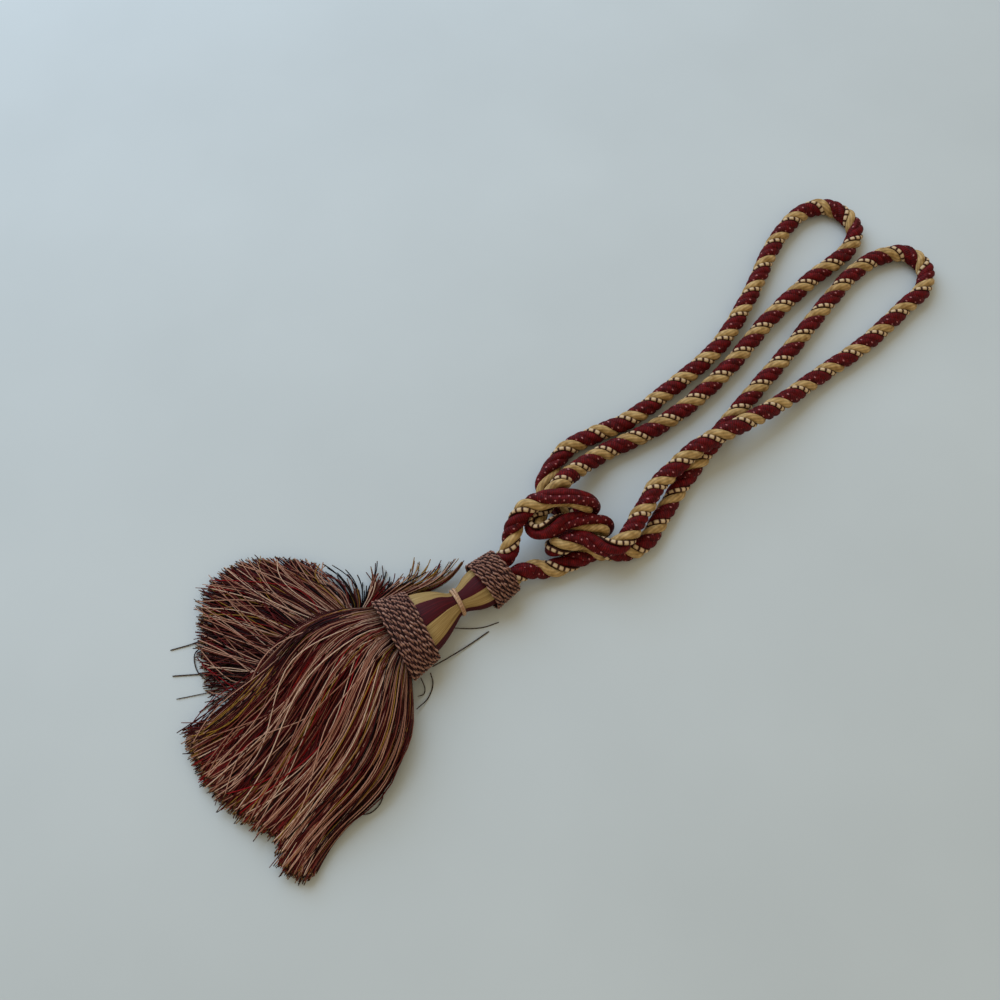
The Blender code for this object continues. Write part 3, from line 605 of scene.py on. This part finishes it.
def highlight_dot_cord():
    """A burgundy cord with small rosy dots of painted highlight where two waves cross, its red painted
    darker in the rib grooves.
    """
    s = Shader("highlight_dot_cord", 0.62)
    ribs = s.wave(1.1 * MM, -1.0)
    highlight_dots = s.math("MULTIPLY", s.wave(5.0 * MM, 3.0), s.wave(5.0 * MM, -3.0))
    highlight_dots = s.math("MULTIPLY_ADD", s.noise(800.0), 0.2, s.math("SUBTRACT", highlight_dots, 0.1))
    red = s.ramp(s.noise(420.0), [(0.25, (60, 6, 7)), (0.55, (96, 9, 12)), (0.8, (128, 20, 22))])
    # Painted highlight: rosy satin glints where the two waves cross, over red painted darker in the rib
    # grooves.
    is_highlight = s.ramp(highlight_dots, [(0.78, (0, 0, 0)), (0.93, (255, 255, 255))])
    rgb = s.mix(is_highlight, s.shade(red, ribs, 0.5), colour(176, 112, 108))
    return s.finish(rgb, s.math("ADD", highlight_dots, ribs), 0.00015, 0.6)


def wound_ply(name, stops):
    s = Shader(name, 0.6, 0.1)
    strands = s.wave(1.7 * MM, 3.0)
    rgb = s.ramp(s.noise(520.0), stops)
    # Painted shade: the colour darkened in the grooves between the strands.
    return s.finish(s.shade(rgb, strands, 0.7), strands, 0.00012, 0.6)


def sleeve():
    """The near-black sleeve between and under the wound rows; its dark colour is painted shade in the
    gaps between them.
    """
    s = Shader("sleeve", 0.9)
    return s.finish(s.ramp(s.noise(900.0), [(0.3, (26, 12, 10)), (0.7, (58, 30, 26))]))


def neck_satin():
    """Lengthwise satin threads in light and dark stripes with slightly uneven edges."""
    s = Shader("neck_satin", 0.5)
    wobble = s.math("MULTIPLY_ADD", s.noise(160.0), 0.012, s.math("SUBTRACT", s.uv[1], 0.006))
    stripe = s.math("FRACT", s.math("MULTIPLY_ADD", wobble, STRIPES, STRIPE_START))
    threads = s.wave(900.0, 150.0)
    fine = s.streaks(45.0, 110.0)
    light = s.ramp(fine, [(0.25, (132, 100, 52)), (0.55, (176, 142, 86)), (0.8, (206, 174, 118))])
    dark = s.ramp(fine, [(0.25, (48, 3, 7)), (0.55, (76, 6, 13)), (0.8, (104, 16, 22))])
    rgb = s.mix(s.math("LESS_THAN", stripe, 0.5), light, dark)
    # Painted shade: darker in the grooves between the lengthwise satin threads.
    return s.finish(s.shade(rgb, threads, 0.66), threads, 0.0001, 0.5)


def tie_cord():
    s = Shader("tie_cord", 0.5, 0.1)
    strands = s.wave(1.5 * MM, 2.0)
    rgb = s.ramp(s.noise(400.0), [(0.3, (176, 130, 96)), (0.7, (208, 168, 134))])
    # Painted shade: the colour darkened in the grooves between the strands.
    return s.finish(s.shade(rgb, strands, 0.72), strands, 0.00015, 0.6)


def skirt_thread():
    """Colour by the thread's own tone: near black, burgundy, pinkish beige, gold or red, with painted
    shade in the twist's grooves, on each thread's underside and where its light mark is low.
    """
    s = Shader("skirt_thread", 0.5)
    twist = s.wave(2.6 * MM, 1.0)
    rgb = s.ramp(s.mark("tone"), [
        (0.00, (26, 8, 6)), (0.10, (58, 10, 9)), (0.22, (88, 15, 14)), (0.34, (114, 28, 24)),
        (0.44, (136, 66, 50)), (0.52, (186, 124, 98)), (0.66, (220, 164, 136)), (0.80, (250, 206, 174)),
        (0.86, (178, 130, 46)), (0.93, (164, 14, 20)),
    ], constant=True)
    # Painted shade: darker in the grooves of the thread's twist.
    rgb = s.shade(rgb, twist, 0.72)
    rgb = s.shade(rgb, s.noise(140.0), 0.7)
    # Painted shade: each thread darker on its underside.
    rgb = s.shade(rgb, s.outside(), 0.30)
    rgb = s.shade(rgb, s.mark("light"), 0.22)
    cut = s.mark("cut")
    is_tan = s.math("MULTIPLY", s.math("GREATER_THAN", cut, 0.25), 0.75)
    is_black = s.math("MULTIPLY", s.math("GREATER_THAN", cut, 0.55), 0.85)
    rgb = s.mix(is_tan, rgb, colour(128, 92, 52))
    rgb = s.mix(is_black, rgb, colour(34, 14, 14))
    return s.finish(rgb, twist, 0.00015, 0.5)


def dark_thread():
    s = Shader("stray_thread", 0.6)
    twist = s.wave(3.0 * MM, 1.0)
    # The thread's dark brown, painted darker in the grooves of its twist as shade.
    return s.finish(s.ramp(twist, [(0.0, (30, 20, 18)), (1.0, (82, 60, 50))]), twist, 0.0001, 0.3)


def floor_material():
    s = Shader("floor", 0.75)
    rgb = s.ramp(s.noise(5.0, 4.0), [(0.3, (196, 199, 196)), (0.7, (203, 206, 203))])
    return s.finish(rgb)


# ---- rope


def rope_turns(along):
    """Turns of the twist at each distance along the rope, its rate changing gradually."""
    places, turns = np.array(ROPE_TURNS).T
    window = np.linspace(-0.007, 0.007, 15)
    weights = np.cos(window / 0.008 * math.pi / 2) ** 2
    return np.interp(along[:, None] + window, places, turns) @ (weights / weights.sum())


def rope_line(step):
    """The rope's middle line, nowhere under the table."""
    line = smooth_path(ROPE_ROUTE, step)
    line[:, 2] = np.maximum(line[:, 2], ROPE_ON_TABLE)
    return line


def add_ply(tubes, slot, name, angle, reach, radius, sides, step):
    """One of the rope's parts, turning round its middle line."""
    path = rope_line(step * MM)
    normals, across = carried_frames(path)
    turn = 2 * math.pi * rope_turns(distances(path)) + math.radians(angle)
    outward = np.cos(turn)[:, None] * normals + np.sin(turn)[:, None] * across
    line = path + outward * reach * MM
    tangent = unit(np.gradient(line, axis=0))
    outward = unit(outward - tangent * np.sum(outward * tangent, axis=1)[:, None])
    along = distances(line)
    size = np.full(len(line), radius * MM)
    if name == "beads":
        swell = np.sqrt(0.5 + 0.5 * np.sin(2 * math.pi * along / BEAD))
        size *= BEAD_WAIST + (1 - BEAD_WAIST) * swell
    rings = tube_rings(line[None], outward[None], np.cross(tangent, outward)[None], size[None], sides)
    tubes.add(rings, along[None], slot)


def build_rope():
    groups = {"rope_plies": ("burgundy", "beige"), "rope_beads_plies": ("beads", "highlight_dots")}
    makers = {"burgundy": burgundy_ply, "beige": beige_ply, "beads": bead_cord, "highlight_dots": highlight_dot_cord}
    things = []
    for piece, members in groups.items():
        tubes = Tubes()
        for slot, member in enumerate(members):
            add_ply(tubes, slot, member, *ROPE_PLIES[member])
        things.append(tubes.build(piece, [makers[member]() for member in members]))
    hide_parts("rope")
    for thing in things:
        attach(thing, "root")
    line = rope_line(5 * MM)
    line = line + COLLAR_AT


# ---- head


def oval_points(sections, angles, grow=0.0):
    """Points of oval sections, each grown all round: (sections, angles, 3)."""
    sections = np.atleast_2d(np.asarray(sections, float))
    across = section_axes(sections[:, 3])[1]
    wide = (sections[:, 4:5] + grow) * np.cos(angles)
    high = (sections[:, 5:6] + grow) * np.sin(angles)
    points = sections[:, None, :3] + across[:, None, :] * wide[..., None]
    points[..., 2] += high
    return points


def closed_tangents(loop):
    return unit(np.roll(loop, -1, 0) - np.roll(loop, 1, 0))


def add_row(tubes, rng, section, cord, lead, row):
    """One turn of the two-ply cord round an oval section, a little slack and unevenly twisted."""
    angles = full_circle(ROW_STEPS)
    axis = section_axes(section[3])[0]
    centre = oval_points(section, angles, -cord * CORD_DEPTH)[0]
    slack = 0.14 * cord * np.cumsum(rng.normal(0, 1, ROW_STEPS))
    slack -= np.linspace(0, slack[-1], ROW_STEPS)
    centre += axis * np.clip(slack, -SLACK * cord, SLACK * cord)[:, None]
    centre[:, 2] = np.maximum(centre[:, 2], cord)
    tangent = closed_tangents(centre)
    side = unit(axis - tangent * (tangent @ axis)[:, None])
    outward = np.cross(tangent, side)
    pieces = np.linalg.norm(np.roll(centre, -1, 0) - centre, axis=1)
    length = pieces.sum()
    along = np.concatenate([[0.0], np.cumsum(pieces)[:-1]])
    turns = round(length / lead)
    lag = rng.uniform(0, 0.8)
    for waves in (3, 5, 9):
        lag = lag + rng.uniform(0.3, 0.8) * np.sin(waves * angles + rng.uniform(0, 6))
    for ply, radius in enumerate(STRAND_RADII):
        turn = turns * 2 * math.pi * along / length + math.pi * ply + lag + row * ROW_LAG
        reach = np.cos(turn)[:, None] * outward + np.sin(turn)[:, None] * side
        line = centre + reach * cord * STRAND_REACH
        ahead = closed_tangents(line)
        out = unit(reach - ahead * np.sum(reach * ahead, axis=1)[:, None])
        uneven = 2 * math.pi * (along * 290 + rng.uniform(0, 1)) + 2 * np.sin(along * 170)
        fade = np.interp(np.arange(ROW_STEPS), [0, 6, ROW_STEPS - 6, ROW_STEPS - 1], [0, 1, 1, 0])
        size = cord * radius * (1 + fade * 0.14 * np.sin(uneven))
        rings = tube_rings(line[None], out[None], np.cross(ahead, out)[None], size[None], 7)
        rings[..., 2] = np.maximum(rings[..., 2], 0.0)
        tubes.add(rings, along[None], ply, closed=True)


def add_sleeve(tubes, start, end, depth):
    """A thin closed shell under the wound rows."""
    angles = full_circle(64)
    shares = np.linspace(0.03, 0.97, 6)[:, None]
    outer = oval_points(start + (end - start) * shares, angles, -depth)
    inner = oval_points(start + (end - start) * shares[::-1], angles, -depth - SLEEVE_WALL)
    shell = np.concatenate([outer, inner])
    shell[..., 2] = np.maximum(shell[..., 2], 0.0002)
    tubes.add(shell[None], np.linspace(0, 0.02, len(shell))[None], 2, closed=True)


def build_wound(name, node, start, end, rows, lead, seed):
    """Two-ply cord wound side by side over a sleeve; one turn of its twist is `lead` long."""
    rng = np.random.RandomState(seed)
    start, end = np.array(start), np.array(end)
    cord = np.linalg.norm((end - start)[:3]) / rows * 0.5
    tubes = Tubes()
    for row in range(rows):
        add_row(tubes, rng, start + (end - start) * (row + 0.5) / rows, cord, lead, row)
    add_sleeve(tubes, start, end, cord * SLEEVE_DEPTH)
    light = wound_ply(name + "_light", [(0.3, (112, 70, 56)), (0.5, (156, 108, 90)),
                                        (0.75, (194, 150, 128))])
    dark = wound_ply(name + "_dark", [(0.3, (40, 15, 12)), (0.55, (62, 26, 21)),
                                      (0.8, (104, 62, 50))])
    thing = tubes.build(name, [light, dark, sleeve()])
    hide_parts(node)
    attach(thing, "root")


def build_neck():
    sections = np.array(NECK_SECTIONS)
    knots = distances(sections[:, :3])
    samples = np.linspace(0, knots[-1], 70)
    fine = spline_basis(knots, samples) @ sections
    angles = full_circle(192)
    waves = np.abs(np.cos(STRIPES * (angles - math.radians(NECK_GROOVE_TURN)))) ** 0.7
    centre = fine[:, None, :3]
    loops = oval_points(fine, angles)
    loops = centre + (loops - centre) * (1 + NECK_GROOVE * waves)[None, :, None]
    tubes = Tubes()
    tubes.add(loops[None], samples[None])
    thing = tubes.build("neck_threads", [neck_satin()])
    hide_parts("neck")
    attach(thing, "root")


def build_tie():
    angles = full_circle(96)
    axis = section_axes(np.array(float(TIE_AT[3])))[0]
    tubes = Tubes()
    for place, lean in TIE_TURNS:
        line = oval_points(TIE_AT + TIE_HALF_SIZE, angles)[0]
        line += axis * (place * MM + lean * 0.007 * np.cos(angles))[:, None]
        tangent = closed_tangents(line)
        side = unit(axis - tangent * (tangent @ axis)[:, None])
        size = np.full((1, len(line)), TIE_RADIUS)
        rings = tube_rings(line[None], np.cross(tangent, side)[None], side[None], size, 10)
        tubes.add(rings, distances(line)[None], closed=True)
    thing = tubes.build("tie_turns", [tie_cord()])
    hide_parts("waist_tie")
    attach(thing, "root")


# ---- skirt


def plug_points(across_share, up_share):
    """Points of the plug's front face: across from -1 to 1, up from 0 to 1."""
    across = section_axes(np.array(float(PLUG_FRONT[3])))[1]
    rise = PLUG_FRONT[5] * np.sqrt(1.0 - (0.97 * across_share) ** 2)
    points = np.array(PLUG_FRONT[:3]) + across * (across_share * PLUG_FRONT[4])[:, None]
    points[:, 2] += (2 * up_share - 1) * rise
    return points


def spread_points(station, share):
    """Places across the spread at a station, from -1 at its right side to 1 at its left."""
    right, middle, left = (np.array(place) for place in station[1:4])
    s = share[:, None]
    return middle + s * (left - right) / 2 + s * s * ((left + right) / 2 - middle)


def clumps(share, layer, seed, size):
    """Smooth uneven values across the spread, different in each layer, from about -1 to 1."""
    rng = np.random.RandomState(seed)
    total = np.zeros_like(share)
    for octave in (1.0, 2.1, 4.3):
        phase = rng.uniform(0, 2 * math.pi, 2)
        total += np.sin(share * size * octave + phase[0] + layer * 9.0 * octave) / octave
        total += 0.5 * np.sin(share * size * 1.7 * octave + phase[1] - layer * 14.0) / octave
    return total / 2.2


def lock_values(share, layer, stray):
    """Four random values per thread, partly shared with the other threads of the same lock."""
    locks = stray.locks
    lock = ((share + 1) / 2 * locks + 3.7 * layer * locks).astype(int) % (4 * locks)
    shared = random.normal(0, 1, (4, 4 * locks))[:, lock]
    return 0.7 * shared + stray.own * random.normal(0, 1, (4, len(share)))


def strayed(share, layer, far, values, loose, arch, stray):
    """Where across the spread the threads pass, `far` along their length."""
    wander, curl, wave, start = values
    drift = stray.clump * ease(far * 3) * clumps(share, layer, stray.seed, stray.clump_size)
    drift += loose * (stray.wander * far * wander + stray.curl * curl * math.sin(3.0 * far)
                      + stray.wave * wave * ease(far * 2.5) * np.sin(stray.waves * far + 3.0 * start))
    drift += arch * math.sin(math.pi * min(far * 1.1, 1.0))
    return share + drift


def cut_at(reach, controls):
    """The control points in one array, with the last stretch of each thread cut at its reach."""
    controls[-1] = controls[-2] + (controls[-1] - controls[-2]) * reach[:, None]
    return np.stack(controls, axis=1)


def light_along(level, steps, places, values):
    """Light at each step of each thread: its own level, times a curve along its length."""
    return level[:, None] * np.interp(np.linspace(0, 1, steps) ** BUNCHING, places, values)


def add_threads(tubes, controls, knots, radius, tone, light, steps):
    """Threads through control points (threads, knots, 3), some stained tan or black at the cut end."""
    samples = np.append(np.linspace(0, CUT_FROM ** (1 / BUNCHING), steps - 1) ** BUNCHING, 1.0)
    paths = np.einsum("ij,tjk->tik", spline_basis(knots, samples), controls)
    parts = np.linalg.norm(np.diff(paths, axis=1), axis=2)
    lengths = np.concatenate([np.zeros((len(paths), 1)), np.cumsum(parts, axis=1)], axis=1)
    radii = np.repeat(radius[:, None], steps, axis=1)
    radii[:, -1] *= 0.8
    paths[..., 2] = np.maximum(paths[..., 2], radii)
    rings = lying_rings(paths, radii, 4)
    rings[..., 2] = np.maximum(rings[..., 2], 0.0)
    pick = uniform(0, 1, (len(paths), 1))
    cut = np.zeros(lengths.shape)
    cut[:, -1:] = np.where(pick < BLACK_ENDS, 1.0, np.where(pick < STAINED_ENDS, 0.5, 0.0))
    along = lengths + uniform(0, 0.01, (len(paths), 1))
    tubes.add(rings, along, tone=tone[:, None], light=light, cut=cut)


def main_threads(tubes, share, layer, tone, loose, longer=0.0, arch=0.0, steps=15):
    """Threads of the main lobe: share across from -1 to 1, layer from 0 at its bottom to 1 on top."""
    low_root = 0.04 + 0.48 * ease((share + 0.1) / 0.2)
    controls = [plug_points(share * 0.96, low_root + (0.97 - low_root) * layer)]
    values = lock_values(share, layer, MAIN_STRAY)
    for station, (crown, rise, rise_from) in zip(MAIN_STATIONS, MAIN_HEIGHTS):
        far = station[0]
        across = strayed(share, layer, far, values, loose, arch * (1 - share ** 4), MAIN_STRAY)
        bottom = rise * ease((share - rise_from + RISE_WIDTH) / RISE_WIDTH)
        top = np.maximum(crown * np.sqrt(np.maximum(0.1, 1 - 0.8 * share ** 2)), bottom + THINNEST)
        uneven = 0.03 * clumps(share, layer, 5, 14.0) * (0.5 + far)
        level = np.clip(layer + uneven * layer, 0, 1.03)
        height = bottom + THREAD + (top - bottom - 2 * THREAD) * level
        controls.append(np.column_stack([spread_points(station, across), height]))
    reach = np.interp(share, *zip(*MAIN_REACH)) - 0.03 + longer + random.normal(0, 0.055, len(share))
    reach += 0.05 * clumps(share, layer, 8, 12.0)
    knots = [0.0] + [station[0] for station in MAIN_STATIONS]
    light = light_along(np.clip(0.1 + 0.9 * layer ** 2, 0, 1), steps, [0, 0.05, 0.15], [0.3, 0.6, 1.0])
    radius = THREAD * uniform(0.85, 1.2, len(share))
    add_threads(tubes, cut_at(reach, controls), knots, radius, tone, light, steps)


def second_threads(tubes, share, layer, tone, loose, arch=0.0, steps=20):
    """Threads of the second lobe, under the main one."""
    controls = [plug_points(0.02 + 0.72 * (1 - (share + 1) / 2), 0.04 + 0.42 * layer)]
    values = lock_values(share, layer, SECOND_STRAY)
    for station in SECOND_STATIONS:
        far = station[0]
        across = strayed(share, layer, far, values, loose, arch, SECOND_STRAY)
        height = THREAD + (np.interp(far, *zip(*SECOND_TOP)) - 2 * THREAD) * layer
        controls.append(np.column_stack([spread_points(station, across), height]))
    reach = 0.97 - 0.10 * ease(share * 3) - 0.08 * ease(-2 - share * 3)
    reach += random.normal(0, 0.07, len(share)) + 0.08 * clumps(share, layer, 18, 10.0)
    knots = [0.0] + [station[0] for station in SECOND_STATIONS]
    level = np.clip(0.05 + 0.9 * layer ** 2, 0, 1)
    light = light_along(level, steps, [0, 0.2, 0.75, 1.0], [0.4, 0.7, 0.85, 1.0])
    light = np.maximum(light, light_along(np.ones(len(share)), steps, [0.8, 1.0], [0.0, 0.55]))
    radius = THREAD * uniform(0.8, 1.15, len(share))
    add_threads(tubes, cut_at(reach, controls), knots, radius, tone, light, steps)


def back_threads(tubes, share, layer, tone, reach):
    """Threads bent back past the collar: share from 0 at the neck to 1 away from it."""
    controls = [plug_points(0.97 - 0.12 * np.clip(share, 0, 1), 0.05 + 0.40 * layer)]
    wander, bend = random.normal(0, 1, (2, len(share)))
    for far, inner, outer, height in BACK_STATIONS:
        sway = far * (0.09 * wander + 0.07 * bend * math.sin(5 * far))
        across = np.maximum(share + sway, -0.02)[:, None]
        place = (1 - across) * np.array(inner) + across * np.array(outer)
        controls.append(np.column_stack([place, THREAD + height * layer]))
    fine = 40  # parts of the whole thread, to cut it at its reach
    knots = [0.0] + [station[0] for station in BACK_STATIONS]
    basis = spline_basis(knots, np.linspace(0, 1, fine + 1))
    whole = np.einsum("ij,tjk->tik", basis, np.stack(controls, axis=1))
    kept = np.linspace(0, 1, 8)
    places = np.clip(reach, 0.2, 1.0)[:, None] * kept * fine
    low = np.minimum(places.astype(int), fine - 1)[..., None]
    part = places[..., None] - low
    before, after = np.take_along_axis(whole, low, 1), np.take_along_axis(whole, low + 1, 1)
    short = (1 - part) * before + part * after
    light = np.clip(0.25 + 0.75 * layer, 0, 1)[:, None]
    add_threads(tubes, short, kept, THREAD * uniform(0.85, 1.25, len(share)), tone, light, 20)


def tones(count, dark, gold=0.04, red=0.04, black=0.05):
    """A random mix of thread colours as places on the colour ramp, from each colour's share."""
    pick = uniform(0, 1, count)
    shade = uniform(0, 1, count)
    out = np.where(pick < dark, 0.10 + shade * 0.41, 0.52 + shade ** 1.3 * 0.335)
    out = np.where(pick > 1 - gold - red - black, NEAR_BLACK, out)
    out = np.where(pick > 1 - gold - red, RED, out)
    return np.where(pick > 1 - gold, GOLD, out)


def main_inside():
    """The main lobe's inner threads, those of its edges, and the coloured ones at its rim."""
    tubes = Tubes()
    main_threads(tubes, uniform(-1, 1, INSIDE), uniform(0.05, 0.92, INSIDE), tones(INSIDE, 0.94),
                 loose=1.0)
    side = np.where(uniform(0, 1, EDGE) < 0.6, -1, 1) * uniform(0.90, 1.0, EDGE)
    main_threads(tubes, side, uniform(0, 1, EDGE), tones(EDGE, 0.7), loose=1.0)
    for low, high, tone, count in RIM_PATCHES:
        main_threads(tubes, uniform(low, high, count), uniform(0.6, 0.97, count),
                     np.full(count, tone), loose=0.5, longer=0.05)
    return tubes


def main_top():
    """The main lobe's even top layer, and mostly pale threads that cross over it."""
    tubes = Tubes()
    spread = np.clip((np.arange(TOP) + uniform(-0.6, 0.6, TOP)) / TOP * 2 - 1, -1, 1)
    main_threads(tubes, spread, uniform(0.86, 0.96, TOP), tones(TOP, 0.85, 0.03, 0.03), loose=1.6,
                 arch=0.05 * clumps(spread, 0.9, 31, 16.0) + random.normal(0, 0.045, TOP), steps=22)
    main_threads(tubes, uniform(-1, 1, OVER), uniform(0.97, 1.03, OVER),
                 tones(OVER, 0.18, 0.05, 0.03, 0.02), loose=2.0,
                 arch=random.normal(0.02, 0.14, OVER), steps=22)
    return tubes


def stray_threads():
    """Single dark threads that lie apart on the table."""
    tubes = Tubes()
    for radius, points in STRAYS:
        path = smooth_path(np.array(points) * MM, 1.5 * MM)
        size = np.full(len(path), radius * MM)
        size[-1] *= 0.7
        path[:, 2] = np.maximum(path[:, 2], radius * MM)
        tubes.add(lying_rings(path[None], size[None], 5), distances(path)[None])
    return tubes


def lower_threads():
    """The second lobe, and the threads bent back: a bush, some beside the neck and a few loose."""
    tubes = Tubes()
    second_threads(tubes, uniform(-1, 1, LOWER), uniform(0, 0.95, LOWER), tones(LOWER, 0.93), loose=1.2)
    second_threads(tubes, uniform(-1, 1, LOWER_OVER), uniform(0.92, 1.05, LOWER_OVER),
                   tones(LOWER_OVER, 0.40), loose=1.6, arch=random.normal(0.08, 0.24, LOWER_OVER))
    share = uniform(0.15, 0.80, BUSH)
    back_threads(tubes, share, uniform(0, 1, BUSH), tones(BUSH, 0.45, 0.06, 0.05, 0.08),
                 uniform(0.45, 0.74, BUSH) + 0.08 * np.sin(share * 15 - 4.5))
    back_threads(tubes, uniform(-0.02, 0.30, BESIDE), uniform(0, 0.9, BESIDE),
                 tones(BESIDE, 0.15, 0.16, 0.06, 0.10), uniform(0.5, 0.97, BESIDE) ** 0.9)
    back_threads(tubes, uniform(0.6, 1.5, LOOSE), uniform(0, 0.6, LOOSE),
                 tones(LOOSE, 0.4, 0.1, 0.04, 0.4), 0.45 + 0.5 * uniform(0, 1, LOOSE) ** 1.6)
    return tubes


def build_skirt():
    thread = skirt_thread()
    inside = main_inside().build("skirt_inside", [thread])
    top = main_top().build("skirt_top", [thread])
    strays = stray_threads().build("stray_threads", [dark_thread()])
    under = lower_threads().build("skirt_under", [thread])
    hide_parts("skirt")
    for thing in (inside, top, under, strays):
        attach(thing, "root")


# ---- stage


def build_floor():
    bpy.ops.mesh.primitive_plane_add(size=FLOOR_SIZE, location=FLOOR_AT)
    floor = bpy.context.object
    floor.name = "floor"
    floor.data.materials.append(floor_material())
    return floor


def add_light():
    """A pale room, and a bluish window high on the far side."""
    world = bpy.data.worlds.new("world")
    bpy.context.scene.world = world
    world.use_nodes = True
    background = world.node_tree.nodes["Background"]
    background.inputs["Color"].default_value = SKY_COLOUR
    background.inputs["Strength"].default_value = SKY_STRENGTH
    window = bpy.data.lights.new("window", "AREA")
    window.energy = WINDOW_ENERGY
    window.size = WINDOW_SIZE
    window.color = WINDOW_COLOUR
    thing = bpy.data.objects.new("window", window)
    thing.location = WINDOW_AT
    thing.rotation_euler = (Vector(WINDOW_AT) - Vector(FLOOR_AT)).to_track_quat("Z", "Y").to_euler()
    bpy.context.scene.collection.objects.link(thing)


def add_camera():
    camera = bpy.data.cameras.new("camera")
    camera.lens = CAMERA_LENS
    camera.sensor_width = CAMERA_LENS
    camera.clip_start = 0.01
    thing = bpy.data.objects.new("camera", camera)
    thing.location = CAMERA_AT + COLLAR_AT
    thing.rotation_euler = [math.radians(turn) for turn in CAMERA_TURN]
    bpy.context.scene.collection.objects.link(thing)
    bpy.context.scene.camera = thing


def build_stage():
    floor = build_floor()
    bpy.context.scene.view_settings.view_transform = "Standard"
    add_light()
    add_camera()


build_rope()
build_wound("head_band_cord", "head_band", BAND_START, BAND_END, 11, 4.7 * MM, 21)
build_wound("collar_cord", "collar", COLLAR_START, COLLAR_END, 12, 4.5 * MM, 22)
build_neck()
build_tie()
build_skirt()
build_stage()
